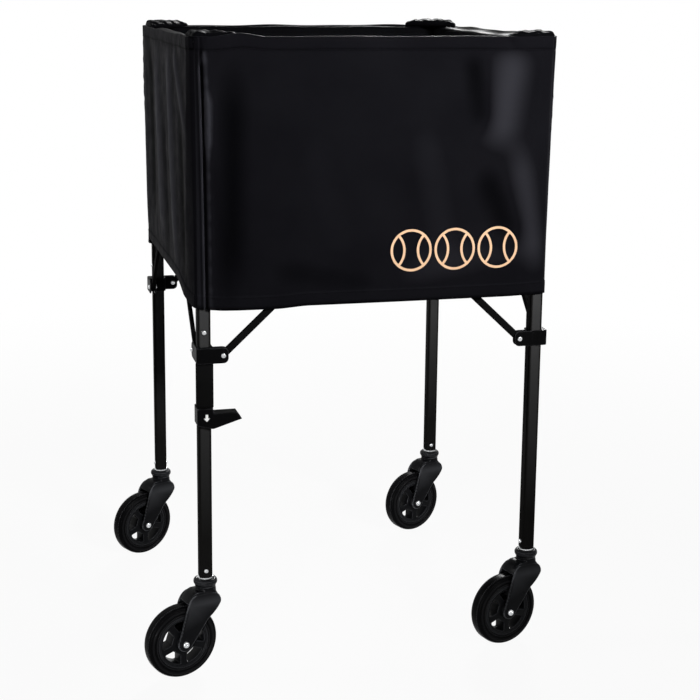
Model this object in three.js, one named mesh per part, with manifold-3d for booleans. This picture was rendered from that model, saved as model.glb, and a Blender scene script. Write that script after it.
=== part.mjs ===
// A folding ball cart: four square legs on swivel casters, joined on every side by a
// pair of crossed braces, with a fabric bag hung round the top of the frame.
// The upper brackets are fixed to the legs and the lower ones slide. A pedal hung from
// the front left slider draws the sliders down, and the four legs come together.
// Millimetres, +Z up, the front along -Y, the floor at zero.

import * as THREE from 'three';
import { mergeVertices } from 'three/addons/utils/BufferGeometryUtils.js';
import Module from 'manifold-3d';

const wasm = await Module();
wasm.setup();

// Fits shared by every piece
const FIT = 0.3;                 // gap between two pieces that touch or slide
const CUT_OVERRUN = 1;           // how far a cutter runs past the face that it opens

// Wheels
const WHEEL_RADIUS = 63.5;
const TYRE_WIDTH = 30;
const TREAD_WIDTH = 20;
const TYRE_SHOULDER = 3.4;       // how far the tread's edges drop to the side walls
const TYRE_DEPTH = 17;           // from the tread in to the rim
const SIDE_RIDGE = 1.2;          // height of the moulded ring on each side wall
const SIDE_RIDGE_WIDTH = 3;
const RIM_WIDTH = 27;
const RIM_THICKNESS = 4.5;
const WEB_THICKNESS = 22;
const WINDOW_MARGIN = 3;         // web left between the rim and a window
const SPOKE_WIDTH = 8;
const BOSS_RADIUS = 13;
const BOSS_WIDTH = 35;
const SPOKE_COUNT = 5;
const WHEEL_SEGMENTS = 20;
const RIM_SEGMENTS = 16;
const WINDOW_SEGMENTS = 3;

// Casters
const TRAIL = 47.5;              // how far the axle lies behind the kingpin
const AXLE_RADIUS = 4.8;
const AXLE_HEAD_RADIUS = 8;
const AXLE_HEAD_HEIGHT = 3.8;
const AXLE_BOSS_RADIUS = 13.5;
const FORK_WALL = 3.5;
const FORK_SIDE_GAP = 1.3;       // from the hub's boss to each fork wall
const CROWN_GAP = 4;             // from the top of the tyre to the crown
const CROWN_HEIGHT = 19;
const CROWN_FRONT = 20;          // from the kingpin forward to the front of the crown
const CROWN_CORNER = 9;
// The fork seen from its side: places are shares of the trail back from the kingpin, or of the
// crown's reach forward of it, and heights are shares of the crown's height up from its underside
const FORK_FRONT_SHARES = { foot: 0.2, shoulder: 0.9, top: 0.8, bend: 0.5, bendHeight: -0.6 };
const FORK_WRIST_SHARES = { back: 0.1, height: -1.6 };
const FORK_REAR_SHARES = { bend: 1.11, bendHeight: -2.1, heel: 0.93, heelHeight: -0.47 };
const FORK_LOBE_SHARES = { bend: 0.8, bendHeight: 0.8, top: 0.34 };
const NECK_RADIUS = 20.5;
const NECK_HEIGHT = 18.5;
const NECK_WAIST_RADIUS = 17.3;   // of the lower part, between the crown and the bearing cup
const NECK_WAIST_HEIGHT = 6.5;
const NECK_ROUND = 2.5;          // how far the cup's edges are rounded off
const KINGPIN_RADIUS = 5.6;
const KINGPIN_HEAD_RADIUS = 9;
const KINGPIN_HEAD_HEIGHT = 3;
const WASHER_RADIUS = 13.5;
const WASHER_HEIGHT = 2.9;
const PLUG_LENGTH = 34;          // how far the stem's plug reaches up into the leg
const PLUG_GAP = 0.6;
const STEM_BOLT_RADIUS = 2.8;
const STEM_BOLT_HEAD_RADIUS = 5;
const STEM_BOLT_HEAD_HEIGHT = 2.6;
const STEM_BOLT_RISE = 11.5;     // from the bottom of the leg up to the bolt
// How far each caster has swung from pointing along the cart's X axis
const CASTER_SWING_DEGREES = { front_left: 16, front_right: 16, back_right: 21, back_left: 26 };

// Legs
const LEG_PITCH = 586;           // between leg centres, the same both ways
const LEG_LENGTH = 902;
const TUBE_SIZE = 22.2;
const TUBE_WALL = 1.5;
const TUBE_CORNER = 2;

// Brackets, sliders and braces
const LOWER_PIVOT_DROP = 80;      // from the bag's bottom edge down to the sliding pivots
const UPPER_PIVOT_DROP = 16;     // from the top of the leg down to the fixed pivots
const PIVOT_REACH = 30.5;        // from the leg's centre to a pivot
const BAR_WIDTH = 12.7;
const BAR_DEPTH = 6.4;
const BAR_WALL = 1.2;
const PIN_RADIUS = 3;
const PIN_CLEARANCE = 0.4;
const RIVET_HEAD_RADIUS = 5.5;
const RIVET_HEAD_HEIGHT = 1.5;
const CHEEK = 2.8;               // thickness of a clevis cheek and of a collar wall
const SLIDER_HEIGHT = 27;
const BRACKET_BELOW_PIVOT = 13.5;
const CAP_HEIGHT = 4;            // the upper bracket's lid over the end of the tube
const EAR_PAST_PIVOT = 9;
const EAR_CORNER = 8.5;
const EAR_ROOT_SHARE = 0.6;      // of the collar's bore, where an ear's outer cheek leaves the collar
const PIVOT_HEAD_RADIUS = 5;
const PIVOT_HEAD_HEIGHT = 2.8;
const STOP_SCREW_RISE = 38;      // from the lower pivots up to the stop screws
const STOP_SCREW_RADIUS = 2.4;
const STOP_SCREW_HEAD_RADIUS = 5;
const STOP_SCREW_HEAD_HEIGHT = 2.6;
const STOP_SCREW_LENGTH = 6;

// Drop pedal and the link that hangs it from the front left slider
const LINK_LENGTH = 76;
const LINK_THICKNESS = 3;
const LINK_FLANGE = 4;           // how far the link's edges wrap round the tube
const PEDAL_HEIGHT = 29.5;
const PEDAL_REACH = 62;          // from the leg's centre to the tip of the tread
const PEDAL_TIP_SLOPE = 8;       // how far the tip leans out over its height
const PEDAL_TREAD_DROP = 9;      // from the top of the pedal's collar to the tread
const PEDAL_TIP_HEIGHT = 12;
const PEDAL_CHIN = 6.5;          // how far the underside hangs below the collar
const PEDAL_FACE = 6;            // how far the pedal's front stands out from its collar
const PEDAL_DEPTH = 24;          // of the tread, front to back
const PEDAL_CHIN_SHARE = 0.8;    // of the collar's half width, where the chin starts to drop
const PEDAL_TOP_SHARE = 0.9;     // of the collar's half width, where its top edge ends
const PEDAL_WEB_SHARE = 0.5;     // of the chin's drop, where the tread's underside meets the collar

// Bag
const RIM_RISE = 13;             // from the top of the legs up to the rim
const SKIRT_DEPTH = 443;
const CLOTH = 1.5;
const SKIRT_REACH = 23;          // from the leg centres out to the middle of a panel
const CORNER_REACH_TOP = 17.5;     // from a leg's centre out to the bag's corner
const CORNER_REACH_BOTTOM = 13.4;
const HEM_SAG = 4;               // how far the bottom edge hangs in the middle
const SHELF_REACH = 15.6;
const SHELF_GAP = 0.5;           // from the bracket's lid up to the cloth over it
const FLOOR_RISE = 8;            // from the skirt's bottom edge up to the bag's floor
const FLOOR_SAG = 6;
const FLOOR_THICKNESS = 2;
const POCKET_HEIGHT = 13;
const POCKET_REACH = 68;         // from a leg's centre along each rim to the pocket's points
const POCKET_POINT = 9;          // how wide the pocket still is at each point

// Sizes and places worked out from the values above
const TUBE_HALF = TUBE_SIZE / 2;
const HALF_PITCH = LEG_PITCH / 2;
const AXLE_HEIGHT = WHEEL_RADIUS;
const CROWN_BOTTOM = WHEEL_RADIUS * 2 + CROWN_GAP;
const CROWN_TOP = CROWN_BOTTOM + CROWN_HEIGHT;
const NECK_TOP = CROWN_TOP + NECK_HEIGHT;
const WASHER_BOTTOM = NECK_TOP + FIT;
const LEG_BOTTOM = WASHER_BOTTOM + WASHER_HEIGHT + FIT;
const LEG_TOP = LEG_BOTTOM + LEG_LENGTH;
const RIM_HEIGHT = LEG_TOP + RIM_RISE;
const SKIRT_BOTTOM = RIM_HEIGHT - SKIRT_DEPTH;
const UPPER_PIVOT_HEIGHT = LEG_TOP - UPPER_PIVOT_DROP;
const LOWER_PIVOT_HEIGHT = SKIRT_BOTTOM - LOWER_PIVOT_DROP;
const FORK_INSIDE = BOSS_WIDTH / 2 + FORK_SIDE_GAP;
const FORK_OUTSIDE = FORK_INSIDE + FORK_WALL;
const BORE_HALF = TUBE_HALF + FIT;
const COLLAR_HALF = BORE_HALF + CHEEK;
const INNER_BAR = TUBE_HALF - BAR_DEPTH / 2;
const OUTER_BAR = INNER_BAR + BAR_DEPTH + FIT;
const HOLE_RADIUS = PIN_RADIUS + PIN_CLEARANCE;
const PIVOT_SPAN = LEG_PITCH - PIVOT_REACH * 2;
const PIVOT_RISE = UPPER_PIVOT_HEIGHT - LOWER_PIVOT_HEIGHT;
const BAR_LENGTH = Math.hypot(PIVOT_SPAN, PIVOT_RISE);
const BAR_ANGLE = Math.atan2(PIVOT_RISE, PIVOT_SPAN);
const CROSSING_HEIGHT = (UPPER_PIVOT_HEIGHT + LOWER_PIVOT_HEIGHT) / 2;
const SHELF_HEIGHT = LEG_TOP + FIT + CAP_HEIGHT + SHELF_GAP;
const LINER_REACH = -COLLAR_HALF - FIT;
const FLOOR_HEIGHT = SKIRT_BOTTOM + FLOOR_RISE;

const ROUND_SEGMENTS = 12;
const HEAD_SEGMENTS = 8;
const PIN_SEGMENTS = 6;
const ARC_SEGMENTS = 2;
const BAR_END_SEGMENTS = 4;

// Materials
const blackTube = () => new THREE.MeshStandardMaterial({ color: 0x1b1b1d, roughness: 0.38, metalness: 0.4 });
const blackPlastic = () => new THREE.MeshStandardMaterial({ color: 0x141416, roughness: 0.5, metalness: 0 });
const zincSteel = () => new THREE.MeshStandardMaterial({ color: 0xc9cbce, roughness: 0.25, metalness: 1 });
const tyreRubber = () => new THREE.MeshStandardMaterial({ color: 0x0e0e10, roughness: 0.7, metalness: 0 });
const blackNylon = () => new THREE.MeshStandardMaterial({ color: 0x121216, roughness: 0.6, metalness: 0 });

// Booleans
function toSolid(geometry) {
  const bare = geometry.clone();
  bare.deleteAttribute('normal');
  bare.deleteAttribute('uv');
  const welded = mergeVertices(bare, 1e-4);
  return new wasm.Manifold(new wasm.Mesh({
    numProp: 3,
    vertProperties: new Float32Array(welded.attributes.position.array),
    triVerts: new Uint32Array(welded.index.array),
  }));
}

function toGeometry(solid) {
  const mesh = solid.getMesh();
  const geometry = new THREE.BufferGeometry();
  geometry.setAttribute('position', new THREE.BufferAttribute(new Float32Array(mesh.vertProperties), 3));
  geometry.setIndex(new THREE.BufferAttribute(new Uint32Array(mesh.triVerts), 1));
  geometry.computeVertexNormals();
  return geometry;
}

const join = (...geometries) => geometries.map(toSolid).reduce((whole, next) => whole.add(next));

function cut(solid, ...geometries) {
  return geometries.map(toSolid).reduce((left, next) => left.subtract(next), solid);
}

// Plain shapes
function boxBetween(low, high) {
  const box = new THREE.BoxGeometry(high[0] - low[0], high[1] - low[1], high[2] - low[2]);
  return box.translate((low[0] + high[0]) / 2, (low[1] + high[1]) / 2, (low[2] + high[2]) / 2);
}

// The corner radius of a faceted bore whose flats, not its corners, lie at the radius given
const boreRadius = (radius, segments = PIN_SEGMENTS) => radius / Math.cos(Math.PI / segments);

function rodAlongY(radius, start, end, x, z, segments = PIN_SEGMENTS) {
  const rod = new THREE.CylinderGeometry(radius, radius, end - start, segments);
  return rod.translate(x, (start + end) / 2, z);
}

function rodAlongX(radius, start, end, y, z, segments = PIN_SEGMENTS) {
  const rod = new THREE.CylinderGeometry(radius, radius, end - start, segments).rotateZ(Math.PI / 2);
  return rod.translate((start + end) / 2, y, z);
}

function rodAlongZ(radius, bottom, top, segments = HEAD_SEGMENTS) {
  return new THREE.CylinderGeometry(radius, radius, top - bottom, segments).rotateX(Math.PI / 2)
    .translate(0, 0, (bottom + top) / 2);
}

function roundedSquare(half, corner) {
  const outline = new THREE.Shape();
  const flat = half - corner;
  outline.moveTo(half, -flat);
  outline.absarc(flat, flat, corner, 0, Math.PI / 2);
  outline.absarc(-flat, flat, corner, Math.PI / 2, Math.PI);
  outline.absarc(-flat, -flat, corner, Math.PI, Math.PI * 1.5);
  outline.absarc(flat, -flat, corner, Math.PI * 1.5, Math.PI * 2);
  return outline;
}

// A shape drawn in X and Z, given a thickness between two places on Y
function slabOnY(shape, start, end, curveSegments = ARC_SEGMENTS) {
  const slab = new THREE.ExtrudeGeometry(shape, { depth: end - start, bevelEnabled: false, curveSegments });
  return slab.rotateX(Math.PI / 2).translate(0, end, 0);
}

// The dome's profile, as shares of the head's radius and height
const DOME_SHARES = [[0, 0], [1, 0], [1, 0.4], [0.65, 1], [0, 1]];

// A domed fastener head whose flat side stands on zero and whose dome points along +Z
function domeHead(radius, height) {
  const profile = DOME_SHARES.map(([across, up]) => new THREE.Vector2(radius * across, height * up));
  return new THREE.LatheGeometry(profile, HEAD_SEGMENTS).rotateX(Math.PI / 2);
}

const headFacingBack = (radius, height) => domeHead(radius, height).rotateX(-Math.PI / 2);
const headFacingFront = (radius, height) => domeHead(radius, height).rotateX(Math.PI / 2);

// A closed sheet between two faces, each given as a function of two shares
function sheetBetween(outerAt, innerAt, columnShares, rowShares) {
  const columns = columnShares.length;
  const rows = rowShares.length;
  const points = [];
  for (const face of [outerAt, innerAt]) {
    for (const v of rowShares) {
      for (const u of columnShares) points.push(face(u, v));
    }
  }
  const index = (side, row, column) => side * rows * columns + row * columns + column;
  const triangles = [];
  const quad = (a, b, c, d) => triangles.push(a, b, c, a, c, d);
  for (let row = 0; row < rows - 1; row += 1) {
    for (let column = 0; column < columns - 1; column += 1) {
      quad(index(0, row, column), index(0, row + 1, column),
        index(0, row + 1, column + 1), index(0, row, column + 1));
      quad(index(1, row, column), index(1, row, column + 1),
        index(1, row + 1, column + 1), index(1, row + 1, column));
    }
    quad(index(0, row, 0), index(1, row, 0), index(1, row + 1, 0), index(0, row + 1, 0));
    quad(index(0, row, columns - 1), index(0, row + 1, columns - 1),
      index(1, row + 1, columns - 1), index(1, row, columns - 1));
  }
  for (let column = 0; column < columns - 1; column += 1) {
    quad(index(0, 0, column), index(0, 0, column + 1), index(1, 0, column + 1), index(1, 0, column));
    quad(index(0, rows - 1, column), index(1, rows - 1, column),
      index(1, rows - 1, column + 1), index(0, rows - 1, column + 1));
  }
  const geometry = new THREE.BufferGeometry();
  geometry.setAttribute('position', new THREE.Float32BufferAttribute(points.flatMap((p) => p.toArray()), 3));
  geometry.setIndex(triangles);
  geometry.computeVertexNormals();
  return geometry;
}

// Wheel: the axis lies along Y through zero
function tyreGeometry() {
  // The facets' flats, not their corners, lie at the wheel's radius, so that it rests on a flat
  const outer = boreRadius(WHEEL_RADIUS, WHEEL_SEGMENTS);
  const inner = boreRadius(WHEEL_RADIUS - TYRE_DEPTH, WHEEL_SEGMENTS);
  const half = TYRE_WIDTH / 2;
  const shoulder = outer - TYRE_SHOULDER;
  const ridgeOuter = shoulder - SIDE_RIDGE_WIDTH;
  const ridgeInner = ridgeOuter - SIDE_RIDGE_WIDTH;
  const wall = half - SIDE_RIDGE;
  const oneSide = [
    [outer, TREAD_WIDTH / 2],
    [shoulder, wall],
    [ridgeOuter, half],
    [ridgeInner, wall],
    [inner, wall],
  ];
  const otherSide = oneSide.map(([radius, y]) => [radius, -y]).reverse();
  const profile = [...oneSide, ...otherSide, oneSide[0]].map(([radius, y]) => new THREE.Vector2(radius, y));
  return new THREE.LatheGeometry(profile, WHEEL_SEGMENTS).rotateY(Math.PI / WHEEL_SEGMENTS);
}

function hubGeometry() {
  const rimOuter = (WHEEL_RADIUS - TYRE_DEPTH) - FIT;
  const rimInner = rimOuter - RIM_THICKNESS;
  const windowOuter = rimInner - WINDOW_MARGIN;
  const windowInner = BOSS_RADIUS + WINDOW_MARGIN;
  const discRadius = rimInner + RIM_THICKNESS / 2;
  const discTurn = (step) => (step / RIM_SEGMENTS) * Math.PI * 2;
  const discPoints = Array.from({ length: RIM_SEGMENTS }, (_, step) => (
    new THREE.Vector2(discRadius * Math.cos(discTurn(step)), discRadius * Math.sin(discTurn(step)))));
  const disc = new THREE.Shape(discPoints);
  for (let spoke = 0; spoke < SPOKE_COUNT; spoke += 1) {
    const middle = (spoke / SPOKE_COUNT) * Math.PI * 2 + Math.PI / 2;
    const outerHalf = Math.PI / SPOKE_COUNT - SPOKE_WIDTH / 2 / windowOuter;
    const innerHalf = Math.PI / SPOKE_COUNT - SPOKE_WIDTH / 2 / windowInner;
    const window = new THREE.Path();
    window.absarc(0, 0, windowOuter, middle - outerHalf, middle + outerHalf);
    window.absarc(0, 0, windowInner, middle + innerHalf, middle - innerHalf, true);
    window.closePath();
    disc.holes.push(window);
  }
  const web = slabOnY(disc, -WEB_THICKNESS / 2, WEB_THICKNESS / 2, WINDOW_SEGMENTS);
  const half = RIM_WIDTH / 2;
  const rimProfile = [
    [rimInner, -half], [rimOuter, -half], [rimOuter, half], [rimInner, half], [rimInner, -half],
  ].map(([radius, y]) => new THREE.Vector2(radius, y));
  const rim = new THREE.LatheGeometry(rimProfile, RIM_SEGMENTS);
  const bossHalf = BOSS_WIDTH / 2;
  const boss = rodAlongY(BOSS_RADIUS, -bossHalf, bossHalf, 0, 0, ROUND_SEGMENTS);
  const through = bossHalf + CUT_OVERRUN;
  const bore = rodAlongY(boreRadius(AXLE_RADIUS + FIT), -through, through, 0, 0);
  return toGeometry(cut(join(web, rim, boss), bore));
}

function axleGeometry() {
  const reach = FORK_OUTSIDE + FIT;
  const shaft = rodAlongY(AXLE_RADIUS, -reach - CUT_OVERRUN, reach + CUT_OVERRUN, 0, 0);
  const back = headFacingBack(AXLE_HEAD_RADIUS, AXLE_HEAD_HEIGHT).translate(0, reach, 0);
  const front = headFacingFront(AXLE_HEAD_RADIUS, AXLE_HEAD_HEIGHT).translate(0, -reach, 0);
  return toGeometry(join(shaft, back, front));
}

// Fork: the kingpin stands on zero, the wheel trails along -X and Z is the height off the floor
function forkOutline() {
  const back = (share) => -TRAIL * share;
  const forward = (share) => CROWN_FRONT * share;
  const crown = (share) => CROWN_BOTTOM + CROWN_HEIGHT * share;
  const front = FORK_FRONT_SHARES;
  const wrist = FORK_WRIST_SHARES;
  const rear = FORK_REAR_SHARES;
  const lobe = FORK_LOBE_SHARES;
  const leave = -Math.PI * 0.22;
  const arrive = -Math.PI * 0.98;
  const shape = new THREE.Shape();
  shape.moveTo(CROWN_FRONT, crown(front.shoulder));
  shape.lineTo(CROWN_FRONT, crown(front.foot));
  shape.quadraticCurveTo(forward(front.bend), crown(front.bendHeight), back(wrist.back), crown(wrist.height));
  const bossX = AXLE_BOSS_RADIUS * Math.cos(leave) - TRAIL;
  const bossZ = AXLE_BOSS_RADIUS * Math.sin(leave) + AXLE_HEIGHT;
  shape.lineTo(bossX, bossZ);
  shape.absarc(-TRAIL, AXLE_HEIGHT, AXLE_BOSS_RADIUS, leave, arrive, true);
  shape.quadraticCurveTo(back(rear.bend), crown(rear.bendHeight), back(rear.heel), crown(rear.heelHeight));
  shape.quadraticCurveTo(back(lobe.bend), crown(lobe.bendHeight), back(lobe.top), CROWN_TOP);
  shape.lineTo(forward(front.top), CROWN_TOP);
  return shape;
}

function crownPlan() {
  const rear = TRAIL + AXLE_BOSS_RADIUS + CUT_OVERRUN;
  const plan = new THREE.Shape();
  plan.moveTo(-rear + CROWN_CORNER, -FORK_OUTSIDE);
  plan.lineTo(CROWN_FRONT - FORK_OUTSIDE, -FORK_OUTSIDE);
  plan.absarc(CROWN_FRONT - FORK_OUTSIDE, 0, FORK_OUTSIDE, -Math.PI / 2, Math.PI / 2);
  plan.lineTo(-rear + CROWN_CORNER, FORK_OUTSIDE);
  plan.absarc(-rear + CROWN_CORNER, FORK_OUTSIDE - CROWN_CORNER, CROWN_CORNER, Math.PI / 2, Math.PI);
  plan.absarc(-rear + CROWN_CORNER, CROWN_CORNER - FORK_OUTSIDE, CROWN_CORNER, Math.PI, Math.PI * 1.5);
  return plan;
}

function forkGeometry() {
  const sides = slabOnY(forkOutline(), -FORK_OUTSIDE, FORK_OUTSIDE, ARC_SEGMENTS + 1);
  const planHeight = CROWN_TOP + CUT_OVERRUN;
  const plan = new THREE.ExtrudeGeometry(crownPlan(), {
    depth: planHeight, bevelEnabled: false, curveSegments: ARC_SEGMENTS * 2,
  });
  const behind = -TRAIL - AXLE_BOSS_RADIUS - CUT_OVERRUN;
  const ahead = CROWN_FRONT + CUT_OVERRUN;
  const pocket = boxBetween([behind, -FORK_INSIDE, 0], [ahead, FORK_INSIDE, CROWN_BOTTOM]);
  const neckProfile = [
    [0, CROWN_TOP - CUT_OVERRUN],
    [NECK_WAIST_RADIUS, CROWN_TOP - CUT_OVERRUN],
    [NECK_WAIST_RADIUS, CROWN_TOP + NECK_WAIST_HEIGHT],
    [NECK_RADIUS, CROWN_TOP + NECK_WAIST_HEIGHT + NECK_ROUND],
    [NECK_RADIUS, NECK_TOP - NECK_ROUND],
    [NECK_RADIUS - NECK_ROUND, NECK_TOP],
    [0, NECK_TOP],
  ].map(([radius, z]) => new THREE.Vector2(radius, z));
  const neck = new THREE.LatheGeometry(neckProfile, ROUND_SEGMENTS).rotateX(Math.PI / 2);
  const below = CROWN_BOTTOM - CUT_OVERRUN;
  const bore = rodAlongZ(boreRadius(KINGPIN_RADIUS + FIT, HEAD_SEGMENTS), below, NECK_TOP + CUT_OVERRUN);
  const seatTop = CROWN_BOTTOM + KINGPIN_HEAD_HEIGHT + FIT;
  const seat = rodAlongZ(boreRadius(KINGPIN_HEAD_RADIUS + FIT, HEAD_SEGMENTS), below, seatTop);
  const through = FORK_OUTSIDE + CUT_OVERRUN;
  const axle = rodAlongY(boreRadius(AXLE_RADIUS + FIT), -through, through, -TRAIL, AXLE_HEIGHT);
  const shell = toSolid(sides).intersect(toSolid(plan)).subtract(toSolid(pocket));
  return toGeometry(cut(shell.add(toSolid(neck)), bore, seat, axle));
}

// Stem: a plug in the leg, a washer, the kingpin with its head, and the bolt through the leg
function stemGeometry() {
  const plugRadius = TUBE_HALF - TUBE_WALL - PLUG_GAP;
  const headTop = CROWN_BOTTOM + KINGPIN_HEAD_HEIGHT;
  const profile = [
    [0, CROWN_BOTTOM],
    [KINGPIN_HEAD_RADIUS, CROWN_BOTTOM],
    [KINGPIN_HEAD_RADIUS, headTop],
    [KINGPIN_RADIUS, headTop],
    [KINGPIN_RADIUS, WASHER_BOTTOM],
    [WASHER_RADIUS, WASHER_BOTTOM],
    [WASHER_RADIUS, WASHER_BOTTOM + WASHER_HEIGHT],
    [plugRadius, WASHER_BOTTOM + WASHER_HEIGHT],
    [plugRadius, LEG_BOTTOM + PLUG_LENGTH],
    [0, LEG_BOTTOM + PLUG_LENGTH],
  ].map(([radius, z]) => new THREE.Vector2(radius, z));
  const stem = new THREE.LatheGeometry(profile, HEAD_SEGMENTS).rotateX(Math.PI / 2);
  const height = LEG_BOTTOM + STEM_BOLT_RISE;
  const face = TUBE_HALF + FIT;
  const bolt = rodAlongY(STEM_BOLT_RADIUS, -face - CUT_OVERRUN, face + CUT_OVERRUN, 0, height);
  const back = headFacingBack(STEM_BOLT_HEAD_RADIUS, STEM_BOLT_HEAD_HEIGHT).translate(0, face, height);
  const front = headFacingFront(STEM_BOLT_HEAD_RADIUS, STEM_BOLT_HEAD_HEIGHT).translate(0, -face, height);
  return toGeometry(join(stem, bolt, back, front));
}

// Leg: a square tube with the holes for the stem's bolt and the stop screw
function legGeometry() {
  const section = roundedSquare(TUBE_HALF, TUBE_CORNER);
  const inside = TUBE_HALF - TUBE_WALL;
  const hollow = [[inside, inside], [-inside, inside], [-inside, -inside], [inside, -inside]];
  section.holes.push(new THREE.Path(hollow.map(([x, y]) => new THREE.Vector2(x, y))));
  const tube = new THREE.ExtrudeGeometry(section, {
    depth: LEG_LENGTH, bevelEnabled: false, curveSegments: ARC_SEGMENTS,
  });
  tube.translate(0, 0, LEG_BOTTOM);
  const through = TUBE_HALF + CUT_OVERRUN;
  const boltHeight = LEG_BOTTOM + STEM_BOLT_RISE;
  const screwHeight = LOWER_PIVOT_HEIGHT + STOP_SCREW_RISE;
  const boltHole = rodAlongY(boreRadius(STEM_BOLT_RADIUS + FIT), -through, through, 0, boltHeight);
  const screwHole = rodAlongY(boreRadius(STOP_SCREW_RADIUS + FIT), -through, 0, 0, screwHeight);
  return toGeometry(cut(toSolid(tube), boltHole, screwHole));
}

function stopScrewGeometry() {
  const height = LOWER_PIVOT_HEIGHT + STOP_SCREW_RISE;
  const face = TUBE_HALF + FIT;
  const head = headFacingFront(STOP_SCREW_HEAD_RADIUS, STOP_SCREW_HEAD_HEIGHT).translate(0, -face, height);
  const shank = rodAlongY(STOP_SCREW_RADIUS, -face - CUT_OVERRUN, STOP_SCREW_LENGTH - face, 0, height);
  return toGeometry(join(head, shank));
}

// The square hole of what goes round a leg
const legBore = (low, high) => boxBetween([-BORE_HALF, -BORE_HALF, low], [BORE_HALF, BORE_HALF, high]);

// One clevis ear along +X: the braces' side of the cart lies towards -Y
function earOutline(start, height) {
  const end = PIVOT_REACH + EAR_PAST_PIVOT;
  const half = height / 2;
  const shape = new THREE.Shape();
  shape.moveTo(start, -half);
  shape.lineTo(end - EAR_CORNER, -half);
  shape.absarc(end - EAR_CORNER, EAR_CORNER - half, EAR_CORNER, -Math.PI / 2, 0);
  shape.absarc(end - EAR_CORNER, half - EAR_CORNER, EAR_CORNER, 0, Math.PI / 2);
  shape.lineTo(start, half);
  return shape;
}

// A collar round the leg with one ear along +X and one along +Y, each holding a brace end
function bracketSolid({ bottom, top, pivotHeight, earHeight, barAlongX, barAlongY, isSlider }) {
  const slotHalf = BAR_DEPTH / 2 + FIT;
  const outerFace = (bar) => bar + slotHalf + CHEEK;
  const innerFace = (bar) => bar - slotHalf - CHEEK;
  const end = PIVOT_REACH + EAR_PAST_PIVOT + CUT_OVERRUN;
  const slotStart = COLLAR_HALF + FIT;
  const collarX = isSlider ? outerFace(barAlongY) : COLLAR_HALF;
  const collarY = isSlider ? outerFace(barAlongX) : COLLAR_HALF;
  const collar = boxBetween([-collarX, -collarY, bottom], [COLLAR_HALF, COLLAR_HALF, top]);
  const earStart = BORE_HALF * EAR_ROOT_SHARE;
  const earX = slabOnY(earOutline(earStart, earHeight), -outerFace(barAlongX), -innerFace(barAlongX))
    .translate(0, 0, pivotHeight);
  // Swapping X and Y turns the ear inside out, so it is mirrored and its faces are turned back
  const swap = new THREE.Matrix4().set(0, 1, 0, 0, 1, 0, 0, 0, 0, 0, 1, 0, 0, 0, 0, 1);
  const earY = slabOnY(earOutline(earStart, earHeight), -outerFace(barAlongY), -innerFace(barAlongY))
    .translate(0, 0, pivotHeight);
  const swapped = toSolid(earY).transform(swap.transpose().elements);
  const slotX = boxBetween([slotStart, -barAlongX - slotHalf, bottom - CUT_OVERRUN],
    [end, -barAlongX + slotHalf, top + CUT_OVERRUN]);
  const slotY = boxBetween([-barAlongY - slotHalf, slotStart, bottom - CUT_OVERRUN],
    [-barAlongY + slotHalf, end, top + CUT_OVERRUN]);
  const pinX = rodAlongY(PIN_RADIUS, -outerFace(barAlongX), -innerFace(barAlongX), PIVOT_REACH, pivotHeight);
  const pinY = rodAlongX(PIN_RADIUS, -outerFace(barAlongY), -innerFace(barAlongY), PIVOT_REACH, pivotHeight);
  let solid = toSolid(collar).add(toSolid(earX)).add(swapped);
  solid = cut(solid, slotX, slotY).add(toSolid(pinX)).add(toSolid(pinY));
  if (isSlider) {
    const headX = headFacingFront(PIVOT_HEAD_RADIUS, PIVOT_HEAD_HEIGHT)
      .translate(PIVOT_REACH, -outerFace(barAlongX), pivotHeight);
    const headY = domeHead(PIVOT_HEAD_RADIUS, PIVOT_HEAD_HEIGHT).rotateY(-Math.PI / 2)
      .translate(-outerFace(barAlongY), PIVOT_REACH, pivotHeight);
    solid = solid.add(toSolid(headX)).add(toSolid(headY));
  }
  return solid;
}

function sliderGeometry() {
  const bottom = LOWER_PIVOT_HEIGHT - SLIDER_HEIGHT / 2;
  const top = bottom + SLIDER_HEIGHT;
  const solid = bracketSolid({
    bottom,
    top,
    pivotHeight: LOWER_PIVOT_HEIGHT,
    earHeight: SLIDER_HEIGHT,
    barAlongX: OUTER_BAR,
    barAlongY: INNER_BAR,
    isSlider: true,
  });
  const bore = legBore(bottom - CUT_OVERRUN, top + CUT_OVERRUN);
  return toGeometry(cut(solid, bore));
}

function topBracketGeometry() {
  const bottom = UPPER_PIVOT_HEIGHT - BRACKET_BELOW_PIVOT;
  const top = LEG_TOP + FIT + CAP_HEIGHT;
  const solid = bracketSolid({
    bottom,
    top,
    pivotHeight: UPPER_PIVOT_HEIGHT,
    earHeight: BRACKET_BELOW_PIVOT * 2,
    barAlongX: INNER_BAR,
    barAlongY: OUTER_BAR,
    isSlider: false,
  });
  const bore = legBore(bottom - CUT_OVERRUN, LEG_TOP + FIT);
  return toGeometry(cut(solid, bore));
}

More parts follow.
